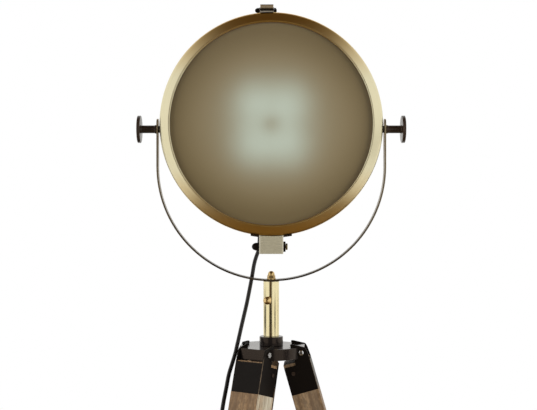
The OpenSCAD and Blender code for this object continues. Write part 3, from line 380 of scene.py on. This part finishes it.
def placed(tree, vector, origin, rotation=(0, 0, 0)):
    # the pattern's own place: origin in metres becomes zero, then it is turned
    centred = addNode(tree, "ShaderNodeVectorMath", {0: vector, 1: origin}, operation="SUBTRACT").outputs[0]
    return rotated(tree, centred, rotation)


def fillRamp(tree, value, stops, interpolation="LINEAR"):
    # stops: (position, colour) from low to high
    node = addNode(tree, "ShaderNodeValToRGB", {0: value})
    ramp = node.color_ramp
    ramp.interpolation = interpolation
    while len(ramp.elements) < len(stops):
        ramp.elements.new(1.0)
    for element, (position, colour) in zip(ramp.elements, stops):
        element.position, element.color = position, (*colour, 1)
    return node.outputs[0]


# brushing left by a lathe: fine lines that run round the local Z axis
turnedBrush, given, result = makeGroup("turnedBrush", {"Vector": None, "Fine": 900.0, "Around": 1.5},
                                       ["Lines", "Patches"])
tree = turnedBrush
x, y, z = separated(tree, given["Vector"])
radius = maths(tree, "SQRT", maths(tree, "MULTIPLY_ADD", x, x, times(tree, y, y)))
safe = maths(tree, "MAXIMUM", radius, 0.0005)
ringX = times(tree, maths(tree, "DIVIDE", x, safe), given["Around"])
ringY = times(tree, maths(tree, "DIVIDE", y, safe), given["Around"])
along = times(tree, maths(tree, "ADD", radius, z), given["Fine"])
lathe = addNode(tree, "ShaderNodeCombineXYZ", {0: ringX, 1: ringY, 2: along}).outputs[0]
tree.links.new(noise(tree, lathe, 1.0, 4.0, 0.6), result["Lines"])
tree.links.new(noise(tree, given["Vector"], 38.0), result["Patches"])

# wear, dust and finger marks: soft patches with small specks in them
patina, given, result = makeGroup("patina", {"Vector": None, "Scale": 20.0}, ["Patches", "Specks"])
tree = patina
soft = noise(tree, given["Vector"], given["Scale"], 5.0, 0.6)
speck = noise(tree, given["Vector"], times(tree, given["Scale"], 22.0), 2.0, 0.7)
tree.links.new(mapRange(tree, soft, 0.35, 0.65), result["Patches"])
tree.links.new(mapRange(tree, speck, 0.62, 0.75), result["Specks"])

# straight brushing along the local X axis
straightBrush, given, result = makeGroup("straightBrush", {"Vector": None, "Fine": 1400.0, "Long": 18.0},
                                         ["Lines"])
tree = straightBrush
x, y, z = separated(tree, given["Vector"])
lines = addNode(tree, "ShaderNodeCombineXYZ", {
    0: times(tree, x, given["Long"]), 1: times(tree, y, given["Fine"]),
    2: times(tree, z, given["Fine"])}).outputs[0]
tree.links.new(noise(tree, lines, 1.0, 4.0, 0.65), result["Lines"])

# weathered, limed wood whose grain runs along the local Z axis
limedGrain, given, result = makeGroup("limedGrain", {
    "Vector": None, "Dark": (0.12, 0.075, 0.04, 1), "Light": (0.36, 0.27, 0.18, 1),
    "Lime": (0.58, 0.55, 0.43, 1), "LimingAndLitSide": 0.4}, ["Color", "Height"])
tree = limedGrain
grainSizes = {"wavy": (80, 80, 5), "fibre": (300, 300, 120), "lime": (190, 190, 9)}
wavy = noise(tree, stretched(tree, given["Vector"], grainSizes["wavy"]), 1.0, 5.0, 0.62)
fibre = noise(tree, stretched(tree, given["Vector"], grainSizes["fibre"]), 1.0, 4.0, 0.7)
base = mixColours(tree, mapRange(tree, wavy, 0.3, 0.7), given["Dark"], given["Light"])
base = mixColours(tree, times(tree, mapRange(tree, fibre, 0.42, 0.58), 0.85), base, given["Dark"])
limeNoise = noise(tree, stretched(tree, given["Vector"], grainSizes["lime"]), 1.0, 6.0, 0.7)
limed = times(tree, mapRange(tree, limeNoise, 0.40, 0.62, 0.25), given["LimingAndLitSide"])
tree.links.new(mixColours(tree, limed, base, given["Lime"]), result["Color"])
tree.links.new(maths(tree, "MULTIPLY_ADD", fibre, 0.6, times(tree, wavy, 0.5)), result["Height"])

finishes = {}


def startMaterial(look, sockets):
    # a look such as ring_brass becomes the material ringBrass; sockets are the shader's plain values
    first, *others = look.split("_")
    material = bpy.data.materials.new(first + "".join(word.capitalize() for word in others))
    material.use_nodes = True
    tree = material.node_tree
    shader = tree.nodes["Principled BSDF"]
    for socket, value in sockets.items():
        shader.inputs[socket].default_value = value
    finishes[look] = material
    return tree, shader, addNode(tree, "ShaderNodeTexCoord").outputs["Object"]


def dress(tree, shader, colour, roughness=None, height=None, depth=0.0, strength=0.6):
    # what changes over the surface: its colour, its roughness and bumps that are depth metres high
    tree.links.new(colour, shader.inputs["Base Color"])
    if roughness is not None:
        tree.links.new(roughness, shader.inputs["Roughness"])
    if height is not None:
        bump = addNode(tree, "ShaderNodeBump", {"Height": height, "Strength": strength, "Distance": depth})
        tree.links.new(bump.outputs[0], shader.inputs["Normal"])


def wearOn(tree, place, scale):
    return useGroup(tree, patina, {"Vector": place, "Scale": scale})


def metal(look, colour, dark, centre, turn, roughness, spread, fine=900.0, bump=0.00004):
    # lathe-brushed metal: lines change the roughness and the surface a little, patches change the colour
    tree, shader, place = startMaterial(look, {"Metallic": 1.0})
    local = placed(tree, place, centre, turn)
    lines = useGroup(tree, turnedBrush, {"Vector": local, "Fine": fine, "Around": 1.5})["Lines"]
    wear = wearOn(tree, place, 24.0)
    tone = mixColours(tree, times(tree, wear["Patches"], 0.35), colour, dark)
    tone = mixColours(tree, times(tree, wear["Specks"], 0.35), tone, dark)
    rough = maths(tree, "ADD", mapRange(tree, lines, 0.3, 0.7, roughness - spread, roughness + spread),
                  times(tree, wear["Patches"], 0.05))
    dress(tree, shader, tone, rough, lines, bump)


def paint(look, colour, dark, roughness, scale=30.0, bump=0.00006, grain=900.0, sockets=None):
    # paint or moulding: soft patches of tone, a fine orange-peel surface and a few specks of dust
    tree, shader, place = startMaterial(look, sockets or {})
    wear = wearOn(tree, place, scale)
    dust = tuple(min(1.0, c * 2.2 + 0.01) for c in colour)
    tone = mixColours(tree, times(tree, wear["Patches"], 0.6), colour, dark)
    tone = mixColours(tree, times(tree, wear["Specks"], 0.18), tone, dust)
    rough = mapRange(tree, wear["Patches"], 0.0, 1.0, roughness, roughness + 0.1)
    dress(tree, shader, tone, rough, noise(tree, place, grain, 2.0), bump)
    return tree, shader, place, tone


# how a pattern is turned: its Z axis ahead along the lens, or upright
ahead, upright = (math.pi / 2, 0, 0), (0, 0, 0)

# the ring's brass with painted highlight and shade: pale at the sides, as where the side lamps catch it, and
# painted darker golden brown on top and at the bottom, with a little random ageing mixed in
ringLook = {"pale": (0.83, 0.775, 0.54), "aged": (0.70, 0.435, 0.11), "lines": (0.55, 0.40, 0.20),
            "radius": 0.17}
tree, shader, place = startMaterial("ring_brass", {"Metallic": 1.0})
local = placed(tree, place, lensCentre, ahead)
lines = useGroup(tree, turnedBrush, {"Vector": local, "Fine": 1600.0, "Around": 0.8})["Lines"]
wear = wearOn(tree, place, 14.0)
height = separated(tree, placed(tree, place, lensCentre))[2]
# painted shade: the farther above or below the lens axis, the darker and browner the ring
paintedLightByHeight = maths(tree, "DIVIDE", maths(tree, "ABSOLUTE", height), ringLook["radius"])
aged = mapRange(tree, maths(tree, "MULTIPLY_ADD", wear["Patches"], 0.06, paintedLightByHeight), 0.45, 1.0)
tone = mixColours(tree, aged, ringLook["pale"], ringLook["aged"])
tone = mixColours(tree, times(tree, mapRange(tree, lines, 0.3, 0.7), 0.18), tone, ringLook["lines"])
dress(tree, shader, tone, mapRange(tree, lines, 0.3, 0.7, 0.30, 0.38), lines, 0.00001, 0.4)

metal("bright_brass", (0.88, 0.79, 0.50), (0.66, 0.52, 0.26), mastCentre, upright, 0.15, 0.03, 800.0, 0.00001)
metal("golden_brass", (0.82, 0.60, 0.28), (0.42, 0.25, 0.09), mastCentre, upright, 0.26, 0.04, 800.0, 0.00001)
paint("dark_bronze", (0.035, 0.02, 0.012), (0.015, 0.010, 0.007), 0.28,
      sockets={"Metallic": 0.3, "Coat Weight": 0.3})
metal("shell_bronze", (0.34, 0.24, 0.14), (0.20, 0.13, 0.07), lensCentre, ahead, 0.36, 0.05, 500.0)

# the yoke's paint is dark at the bottom and painted paler up its arms, a painted highlight by height, with
# some random wear patches in it
yokeLook = {"paint": (0.030, 0.016, 0.008), "worn": (0.40, 0.33, 0.21),
            "from": headZ - 0.22, "to": headZ - 0.02}
tree, shader, place = startMaterial("yoke_bronze", {"Metallic": 0.85})
wear = wearOn(tree, place, 40.0)
# painted highlight: the higher up the yoke, the paler its colour
paintedLightByHeight = mapRange(tree, separated(tree, place)[2], yokeLook["from"], yokeLook["to"], 0.0, 0.8)
worn = maths(tree, "MULTIPLY_ADD", wear["Patches"], 0.2, paintedLightByHeight)
dress(tree, shader, mixColours(tree, worn, yokeLook["paint"], yokeLook["worn"]),
      mapRange(tree, wear["Patches"], 0.0, 1.0, 0.26, 0.36), noise(tree, place, 900.0, 2.0), 0.00003)

# black paint of the brackets and, glossier and brown in its reflections, of the hub and collar
iron = {"colour": (0.005, 0.0035, 0.0025), "dark": (0.003, 0.002, 0.0015), "roughness": 0.34, "scale": 26.0,
        "bump": 0.00003, "sockets": {"Specular IOR Level": 0.1}}
paint("black_iron", **iron)
paint("hub_black", (0.010, 0.008, 0.007), (0.005, 0.004, 0.004), 0.12, 26.0, 0.00001,
      sockets={"Coat Weight": 0.12, "Specular Tint": (0.5, 0.34, 0.24, 1)})
paint("black_rubber", (0.018, 0.017, 0.016), (0.010, 0.010, 0.010), 0.62, 60.0, 0.0001, 1600.0)
paint("brown_rubber", (0.13, 0.10, 0.06), (0.09, 0.065, 0.04), 0.5, 60.0, 0.00008)
paint("black_plastic", (0.012, 0.012, 0.013), (0.008, 0.008, 0.008), 0.32, 50.0, 0.00008, 2200.0)
metal("steel", (0.74, 0.74, 0.75), (0.55, 0.54, 0.52), mastCentre, upright, 0.2, 0.05)
metal("mirror_bowl", (0.88, 0.88, 0.87), (0.78, 0.77, 0.75), lensCentre, ahead, 0.12, 0.04, 400.0)

# the latch: a silvery foot, a painted shadow across the brass barrel that lies in shade under the tab, and a
# brass tab with a dark upper edge
latchLook = {"foot": 0.1764, "low": -0.002, "high": 0.014, "grime": (0.02, 0.014, 0.01), "bands": [
    (0.0, (0.74, 0.70, 0.60)), (0.16, (0.78, 0.74, 0.64)), (0.20, (0.012, 0.008, 0.005)),
    (0.56, (0.012, 0.008, 0.005)), (0.60, (0.80, 0.66, 0.45)), (0.84, (0.72, 0.57, 0.37)),
    (0.90, (0.05, 0.035, 0.02))]}
tree, shader, place = startMaterial("latch_brass", {"Metallic": 0.9})
lift = separated(tree, placed(tree, place, (mastX, mastY, lensZ + latchLook["foot"])))[2]
# the dark band between the foot and the tab is painted shadow
bands = fillRamp(tree, mapRange(tree, lift, latchLook["low"], latchLook["high"]), latchLook["bands"])
wear = wearOn(tree, place, 120.0)
dress(tree, shader, mixColours(tree, times(tree, wear["Patches"], 0.25), bands, latchLook["grime"]),
      mapRange(tree, wear["Patches"], 0.0, 1.0, 0.22, 0.4), wear["Specks"], 0.00002, 0.4)

# flat plates of the door hinge, brushed from side to side: pale edges, and a dark leaf beside them;
# the edges and the leaf are given as distances from the middle, in metres
hingeLook = {"plate": (0.52, 0.475, 0.34), "worn": (0.40, 0.35, 0.23), "edge": (0.80, 0.75, 0.60),
             "leaf": (0.025, 0.016, 0.010), "edgeAt": (0.0165, 0.0186), "leafAt": (0.0191, 0.0193)}
tree, shader, place = startMaterial("brushed_brass", {"Metallic": 0.55})
lines = useGroup(tree, straightBrush, {"Vector": place, "Fine": 1500.0, "Long": 30.0})["Lines"]
scuffed = times(tree, wearOn(tree, place, 60.0)["Patches"], 0.4)
tone = mixColours(tree, scuffed, hingeLook["plate"], hingeLook["worn"])
fromMiddle = maths(tree, "ABSOLUTE", separated(tree, placed(tree, place, lensCentre))[0])
tone = mixColours(tree, mapRange(tree, fromMiddle, *hingeLook["edgeAt"]), tone, hingeLook["edge"])
tone = mixColours(tree, mapRange(tree, fromMiddle, *hingeLook["leafAt"]), tone, hingeLook["leaf"])
dress(tree, shader, tone, mapRange(tree, lines, 0.3, 0.7, 0.22, 0.42), lines, 0.00005)

# frosted, smoked glass with painted light: a ramp from the lighter middle to the darker rim stands for the
# bowl's reflection seen through the smoked glass, and over it four soft patches of painted light from the
# bowl behind, each exp(-(x - a)^2 / 2 s^2) exp(-(z - b)^2 / 2 s^2), less a painted shade of the bulb in the
# middle
glass = {"middle": (0.27, 0.24, 0.16), "between": (0.24, 0.20, 0.122), "outer": (0.19, 0.146, 0.075),
         "rim": (0.112, 0.080, 0.034), "glow": (0.425, 0.47, 0.385), "radius": 0.16, "flatter": 1.2,
         "patchX": (0.027, 0.025), "patchZ": (0.0315, 0.026), "dip": (0.0, 0.011), "paintedBulbShadeDepth": 0.13}


def twoBells(value, offset, spread):
    # exp(-(v - offset)^2 / 2 spread^2) + exp(-(v + offset)^2 / 2 spread^2)
    bells = []
    for centre in (offset, -offset):
        away = maths(tree, "SUBTRACT", value, centre)
        bells.append(maths(tree, "EXPONENT", times(tree, times(tree, away, away), -0.5 / spread ** 2)))
    return maths(tree, "ADD", *bells)


tree, shader, place = startMaterial("smoked_glass", {
    "Roughness": 0.32, "Transmission Weight": 0.15, "Coat Weight": 0.25, "Coat Roughness": 0.25})
x, y, z = separated(tree, placed(tree, place, lensCentre))
square = maths(tree, "ADD", times(tree, x, x), times(tree, times(tree, z, z), glass["flatter"]))
outwards = maths(tree, "DIVIDE", maths(tree, "SQRT", square), glass["radius"])
# painted light: lighter in the middle and darker towards the rim, over the glass's smoked tint
tintAndPaintedLight = fillRamp(tree, outwards, [(0.0, glass["middle"]), (0.45, glass["between"]), (0.75, glass["outer"]),
                                  (1.0, glass["rim"])], "B_SPLINE")
paintedLightPatches = times(tree, twoBells(x, *glass["patchX"]), twoBells(z, *glass["patchZ"]))
# painted shade of the bulb in the middle
dip = times(tree, twoBells(x, *glass["dip"]), twoBells(z, *glass["dip"]))
glow = maths(tree, "SUBTRACT", paintedLightPatches, times(tree, dip, glass["paintedBulbShadeDepth"]))
lit = mixColours(tree, maths(tree, "MINIMUM", times(tree, glow, 0.8), 1.0), tintAndPaintedLight, glass["glow"])
mottle = times(tree, wearOn(tree, place, 9.0)["Patches"], 0.08)
dress(tree, shader, mixColours(tree, mottle, lit, glass["outer"]),
      height=noise(tree, place, 420.0, 2.0), depth=0.00003)

tree, shader, place = startMaterial("bulb_frost", {"Roughness": 0.35, "Transmission Weight": 0.3})
wear = wearOn(tree, place, 40.0)
dress(tree, shader, mixColours(tree, wear["Patches"], (0.93, 0.92, 0.87), (0.88, 0.87, 0.80)))

# the cord's own pattern follows its length: fine moulding lines and a slow change of gloss
tree, shader, place = startMaterial("cord_black", {"Roughness": 0.28})
alongCord = addNode(tree, "ShaderNodeUVMap", uv_map="uv").outputs[0]
skin = noise(tree, stretched(tree, alongCord, (5, 14, 1)), 1.0)
dress(tree, shader, mixColours(tree, skin, (0.004, 0.0035, 0.0035), (0.009, 0.008, 0.0075)),
      mapRange(tree, skin, 0.3, 0.7, 0.24, 0.34), skin, 0.00003, 0.3)

# each leg's wood. Its last number is how far from the leg's middle, in metres, the side begins that is limed
# all over, a painted highlight where the side light falls; at 1 m, as on the right leg, none of it shows
brownWood = {"dark": (0.092, 0.050, 0.023), "light": (0.295, 0.178, 0.082), "liming": 0.08,
             "litSideFrom": 0.0249}
frontWood = {"dark": (0.099, 0.052, 0.022), "light": (0.32, 0.187, 0.084), "liming": 0.06,
             "litSideFrom": 0.0249}
woods = {"right": {**brownWood, "litSideFrom": 1.0}, "front": frontWood, "rear": brownWood}
# each leg's bracket is worn to a tan line along its two long outer corners: the distance from a
# corner is sqrt((halfWidth - |y|)^2 + (outer - x)^2)
corner = {"halfWidth": 0.0255, "outer": 0.011, "sharp": 0.0004, "worn": 0.0010, "tan": (0.15, 0.108, 0.07)}
for leg, wood in woods.items():
    angle = legTurn[leg]
    pivot = (mastX + pivotRadius * math.cos(angle), mastY + pivotRadius * math.sin(angle), pivotHeight)

    tree, shader, place = startMaterial("wood_" + leg, {"Roughness": 0.62})
    local = rotated(tree, placed(tree, place, pivot, (0, 0, -angle)), (0, splay, 0))
    # painted highlight: the side beyond its start is limed all over and paler, as where the side light falls
    side = mapRange(tree, separated(tree, local)[1], wood["litSideFrom"], wood["litSideFrom"] + 0.0004, 0.0, 0.62)
    grain = useGroup(tree, limedGrain, {
        "Vector": local, "Dark": (*wood["dark"], 1), "Light": (*wood["light"], 1),
        "LimingAndLitSide": maths(tree, "ADD", side, wood["liming"])})
    dress(tree, shader, grain["Color"], mapRange(tree, grain["Height"], 0.3, 0.8, 0.5, 0.72),
          grain["Height"], 0.0006, 0.7)

    tree, shader, place, painted = paint("iron_" + leg, **iron)
    local = rotated(tree, placed(tree, place, pivot, (0, 0, -angle)), (0, splay, 0))
    x, y, z = separated(tree, local)
    acrossGap = maths(tree, "SUBTRACT", corner["halfWidth"], maths(tree, "ABSOLUTE", y))
    aheadGap = maths(tree, "SUBTRACT", corner["outer"], x)
    square = maths(tree, "ADD", times(tree, acrossGap, acrossGap), times(tree, aheadGap, aheadGap))
    worn = mapRange(tree, maths(tree, "SQRT", square), corner["sharp"], corner["worn"], 1.0, 0.0)
    worn = times(tree, worn, mapRange(tree, noise(tree, local, 60.0), 0.35, 0.6, 0.35))
    tree.links.new(mixColours(tree, worn, painted, corner["tan"]), shader.inputs["Base Color"])
print("materials", len(finishes))


def finish(piece, look, body):
    piece.data.materials.clear()
    piece.data.materials.append(finishes[look])
    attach(piece, body)


def turnedFor(node, name, outline, origin, direction, segments, look, body):
    # a turned piece that stands for a CAD node
    piece = turned(name, outline, origin, direction, segments)
    finish(piece, look, body)
    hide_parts(node)


for piece, line, length in cords.values():
    piece.data.materials.append(finishes["cord_black"])

# every CAD node gets its finish; those that are made finer below are hidden there
slots = {entry["node"]: entry["material_slot"] for entry in frame["record"]["subparts"]}
ownLooks = {"yoke": "yoke_bronze", "hub": "hub_black", "collar": "hub_black", "latch_lever": "latch_brass",
            "lens_gasket": "brown_rubber", "dome_nut": "golden_brass", "set_screw": "golden_brass"}
for leg in woods:
    ownLooks["bracket_" + leg] = "iron_" + leg
    ownLooks["wood_" + leg] = "wood_" + leg
for node, slotName in slots.items():
    look = finishes[ownLooks.get(node, slotName)]
    target = cadNodes[node]
    if not target.material_slots:
        target.data.materials.append(look)
    for slot in target.material_slots:
        slot.material = look

# head: pieces turned on the lens axis, which points ahead to -Y. Outlines are in mm: radius and
# distance ahead of the lens centre, and in a rounded one how far its corner is eased
toFront = (0, -1, 0)
ring = {"outer": 176.4, "glass": 159.2, "back": 10.2, "front": 29.2, "shoulder": 8.3, "wall": 2.4,
        "lipDepth": 5.2, "seat": 7, "seatBack": 19.2}
r, g, back, front = ring["outer"], ring["glass"], ring["back"], ring["front"]
inside, seat, lip = r - ring["wall"], g + ring["seat"], front - ring["lipDepth"]
outline = rounded([
    (r, back, 0.5), (r, front - ring["shoulder"], 6.0), (g + 3.4, front - 0.5, 1.4), (g + 2.4, front, 0.4),
    (g + 1, front, 0.5), (g, front - 1, 0.5), (g, lip, 0.3), (seat, lip, 0.3), (seat, ring["seatBack"], 0.3),
    (inside, ring["seatBack"], 0.3), (inside, back, 0.3)], 8)
turnedFor("bezel", "ringTurned", outline, lensCentre, toFront, 256, "ring_brass", "door")

# the drum and its domed back, a quarter of an ellipse between the drum and the flat in the middle
shell = {"radius": 170, "wall": 1.2, "rim": 10.0, "drumEnd": -50.0, "domeDepth": 85.0, "flat": 62.0,
         "hole": 12}
domeAngle = np.linspace(0, np.pi / 2, 40)


def domeLine(off):
    # the dome's outline, off mm inside its outer face
    width, depth = shell["radius"] - shell["flat"] - off, shell["domeDepth"] - off
    return np.stack([shell["flat"] + width * np.cos(domeAngle),
                     shell["drumEnd"] - depth * np.sin(domeAngle)], axis=1)


rimRoll = [(168.8, 0), (171.6, 0), (172.3, -0.7), (172.5, -2.5), (172.3, -4.4), (171.2, -5.6), (170, -6.5)]
domeEnd = shell["drumEnd"] - shell["domeDepth"]
outline = np.vstack([np.add(rimRoll, (0, shell["rim"])), domeLine(0),
                     [(shell["hole"], domeEnd), (shell["hole"], domeEnd + shell["wall"])],
                     domeLine(shell["wall"])[::-1]])
turnedFor("shell", "shellTurned", outline, lensCentre, toFront, 200, "shell_bronze", "head")

# the reflector, a parabola: its distance ahead grows with the square of the radius
bowl = {"outer": 159.8, "inner": 24, "front": 8, "depth": 100, "flange": 168.7, "wall": (0.6, -1)}
radii = np.linspace(bowl["outer"], bowl["inner"], 40)
curve = bowl["front"] - bowl["depth"] + bowl["depth"] * (radii ** 2 - bowl["inner"] ** 2) / (
    bowl["outer"] ** 2 - bowl["inner"] ** 2)
face = np.stack([radii, curve], axis=1)
outline = np.vstack([[(bowl["flange"], bowl["front"] - 1), (bowl["flange"], bowl["front"])], face,
                     (face + bowl["wall"])[::-1]])
turnedFor("reflector", "bowlTurned", outline, lensCentre, toFront, 160, "mirror_bowl", "head")

# the bulb: a hollow ball that ends in a neck
bulb = {"radius": 30, "neck": 14.5, "centre": -19, "neckEnd": -65, "wall": 1}
globe = np.linspace(0, np.pi - math.asin(bulb["neck"] / bulb["radius"]), 40)
circle = np.stack([np.sin(globe), np.cos(globe)], axis=1)
outer = circle * bulb["radius"] + (0, bulb["centre"])
inner = circle * (bulb["radius"] - bulb["wall"]) + (0, bulb["centre"])
neck = [(bulb["neck"], bulb["neckEnd"]), (bulb["neck"] - bulb["wall"], bulb["neckEnd"])]
turnedFor("bulb_glass", "bulbTurned", np.vstack([outer, neck, inner[::-1]]), lensCentre, toFront, 96,
          "bulb_frost", "head")

axisR = 0.01  # as good as on the axis
cap = {"inner": 64.6, "outer": 66, "skirt": -141.5, "under": -150.5, "back": -151.9}
outline = rounded([
    (axisR, cap["under"], 0), (cap["inner"], cap["under"], 0.5), (cap["inner"], cap["skirt"], 0.3),
    (cap["outer"], cap["skirt"], 0.4), (cap["outer"], -151.1, 1.2), (64, cap["back"], 1.2),
    (axisR, cap["back"], 0)], 5)
turnedFor("rear_cap", "capTurned", outline, lensCentre, toFront, 128, "shell_bronze", "head")

# tilt knobs: a disc with a grooved rim on a stem with a foot, bored for the stud
knob = {"start": 182.4, "stem": 25.0, "stemR": 6.2, "foot": 6.9, "disc": 5.2, "discR": 21.8, "groove": 0.8,
        "bore": 4.05, "boreEnd": 201.2}
s, d, rim = knob["start"], knob["start"] + knob["stem"], knob["discR"]
middle, end = d + knob["disc"] / 2, d + knob["disc"]
outline = rounded([
    (knob["bore"], s, 0.1), (knob["foot"], s, 0.6), (knob["foot"], s + 2.6, 0.4),
    (knob["stemR"], s + 3.4, 0.4), (knob["stemR"], d - 1, 1.2), (7, d, 0.4), (rim, d, 1.1),
    (rim, middle - 0.5, 0.3), (rim - knob["groove"], middle, 0.4), (rim, middle + 0.5, 0.3),
    (rim, end, 1.3), (axisR, end, 0),
    (axisR, knob["boreEnd"], 0), (knob["bore"], knob["boreEnd"], 0)], 5)
for side, name in ((-1, "left"), (1, "right")):
    turnedFor("knob_" + name, "knob_" + name + "Turned", outline, headCentre, (side, 0, 0), 96,
              "dark_bronze", name + "_knob")

# mast tube and collar
mast = {"outer": 12.5, "inner": 11, "low": 996.1, "top": 1110.4}
outline = rounded([(mast["outer"], mast["low"], 0.3), (mast["outer"], mast["top"], 0.8),
                   (mast["inner"], mast["top"], 0.3), (mast["inner"], mast["low"], 0.3)], 5)
turnedFor("mast_tube", "mastTurned", outline, mastCentre, (0, 0, 1), 96, "bright_brass", "stand")
collar = {"outer": 18.8, "inner": 12.55, "low": 1008.1, "top": 1022.6}
outline = rounded([(collar["inner"], collar["low"], 0.2), (collar["outer"], collar["low"], 0.8),
                   (collar["outer"], collar["top"], 1.6), (collar["inner"], collar["top"], 0.6)], 6)
turnedFor("collar", "collarTurned", outline, mastCentre, (0, 0, 1), 96, "hub_black", "stand")
print("turned pieces")

# pieces whose CAD shape is right and whose edges are eased: node, body and width in metres
eased = {"hinge_bracket": ("door", 0.0005), "hinge_caps": ("door", 0.0004), "hinge_bolt": ("door", 0.0003),
         "hinge_plate": ("head", 0.0005), "latch_base": ("head", 0.0003), "latch_lever": ("latch", 0.0004),
         "latch_bolt": ("head", 0.0003), "yoke": ("yoke_frame", 0.0005), "dome_nut": ("yoke_frame", 0.0004),
         "hub": ("stand", 0.0005), "trunnion_plates": ("head", 0.0003)}
for leg in woods:
    for kind, width in (("bracket_", 0.0006), ("wood_", 0.0016), ("pivot_bolt_", 0.0004), ("foot_", 0.0008)):
        eased[kind + leg] = ("leg_" + leg, width)
eased.update(plug=("stand", 0.0015), foot_switch=("stand", 0.0025), switch_button=("button", 0.001))
easedPieces = {}
for node, (body, width) in eased.items():
    easedPieces[node] = easedCopy(node, width)
    finish(easedPieces[node], ownLooks.get(node, slots[node]), body)
print("eased pieces", len(eased))

# the floor, just under the feet; in reflections it is dim, as in a studio whose floor is in shade
floor = {"side": 1.6, "back": 1.5, "z": -0.0004, "shade": (0.20, 0.14, 0.075)}
corners = [[-floor["side"], -floor["side"]], [floor["side"], -floor["side"]],
           [floor["side"], floor["back"]], [-floor["side"], floor["back"]]]
floorPiece = newPiece("floor", np.insert(corners, 2, floor["z"], axis=1), [[0, 1, 2, 3]], smooth=False)
tree, shader, place = startMaterial("floor_paper", {"Roughness": 0.8})
paper = mixColours(tree, noise(tree, place, 6.0), (0.80, 0.80, 0.79), (0.83, 0.83, 0.82))
mirrored = addNode(tree, "ShaderNodeLightPath").outputs["Is Glossy Ray"]
dress(tree, shader, mixColours(tree, mirrored, paper, floor["shade"]))
floorPiece.data.materials.append(finishes["floor_paper"])

# the room: white where the camera sees it, a plain grey light, and in reflections the backdrop behind
# the lamp, a tall pale screen on either side, and between them a dim gap in front, which is narrow at
# eye level and lies a little to the left there
room = {"colour": (0.86, 0.87, 0.88, 1), "strength": 0.22,
        "dim": (0.095, 0.062, 0.034), "pale": (1.0, 0.99, 0.96)}
# at the mast's level the room is striped from side to side: brightness by degrees from straight ahead
stripes = {"tint": (1.0, 0.97, 0.88), "below": 0.115, "edge": (0.05, 0.09), "greys": [
    (-180, 1.0), (-122, 1.0), (-116, 0.06), (-84, 0.06), (-77, 1.0), (-33, 1.0), (-27, 0.03), (8, 0.03),
    (13, 1.0), (44, 1.0), (47, 0.09), (65, 0.09), (69, 1.0), (108, 1.0), (112, 0.3), (122, 0.3),
    (126, 1.0), (180, 1.0)]}
world = bpy.data.worlds.new("studio")
bpy.context.scene.world = world
world.use_nodes = True
tree = world.node_tree
tree.nodes.clear()
rays = addNode(tree, "ShaderNodeLightPath").outputs
plain = addNode(tree, "ShaderNodeBackground",
                {"Color": room["colour"], "Strength": room["strength"]}).outputs[0]
x, y, z = separated(tree, addNode(tree, "ShaderNodeTexCoord").outputs["Generated"])
behind = mapRange(tree, y, 0.22, 0.5)
level = maths(tree, "ABSOLUTE", z)
sideways = maths(tree, "ABSOLUTE", maths(tree, "ADD", x, mapRange(tree, level, 0.15, 0.6, 0.155, 0.0)))
gapHalf = mapRange(tree, level, 0.15, 0.6, 0.30, 0.60)
beside = mapRange(tree, maths(tree, "SUBTRACT", sideways, gapHalf), -0.1, 0.14)
mirrored = mixColours(tree, maths(tree, "MAXIMUM", behind, beside), room["dim"], room["pale"])
degrees = maths(tree, "ARCTAN2", x, times(tree, y, -1.0))
striped = fillRamp(tree, mapRange(tree, degrees, -math.pi, math.pi), [
    (0.5 + at / 360, tuple(grey * c for c in stripes["tint"])) for at, grey in stripes["greys"]])
fromStrip = maths(tree, "ABSOLUTE", maths(tree, "ADD", z, stripes["below"]))
mirrored = mixColours(tree, mapRange(tree, fromStrip, *stripes["edge"], 1.0, 0.0), mirrored, striped)
dim = addNode(tree, "ShaderNodeBackground", {"Color": mirrored, "Strength": 1.0}).outputs[0]
white = addNode(tree, "ShaderNodeBackground", {"Color": (1, 1, 1, 1), "Strength": 1.0}).outputs[0]
glossy = addNode(tree, "ShaderNodeMixShader", {0: rays["Is Glossy Ray"], 1: plain, 2: dim}).outputs[0]
seen = addNode(tree, "ShaderNodeMixShader", {0: rays["Is Camera Ray"], 1: glossy, 2: white}).outputs[0]
addNode(tree, "ShaderNodeOutputWorld", {0: seen})

# lamps: place, size in metres and power in watts; all point at the head
lamps = {"left": ((-1.45, -0.75, 1.35), (0.9, 1.5), 24.0), "right": ((1.35, -0.75, 1.35), (0.9, 1.5), 34.0),
         "front": ((-0.5, -2.6, 2.3), (1.2, 0.8), 16.0)}
lampAim = (mastX, mastY, 1.25)
for name, (place, size, power) in lamps.items():
    data = bpy.data.lights.new(name, "AREA")
    data.shape = "RECTANGLE"
    data.size, data.size_y = size
    data.energy = power
    lamp = addObject(name, data)
    lamp.visible_glossy = False
    lamp.location = place
    pointAt(lamp, lampAim)

bpy.context.scene.view_settings.view_transform = "Standard"
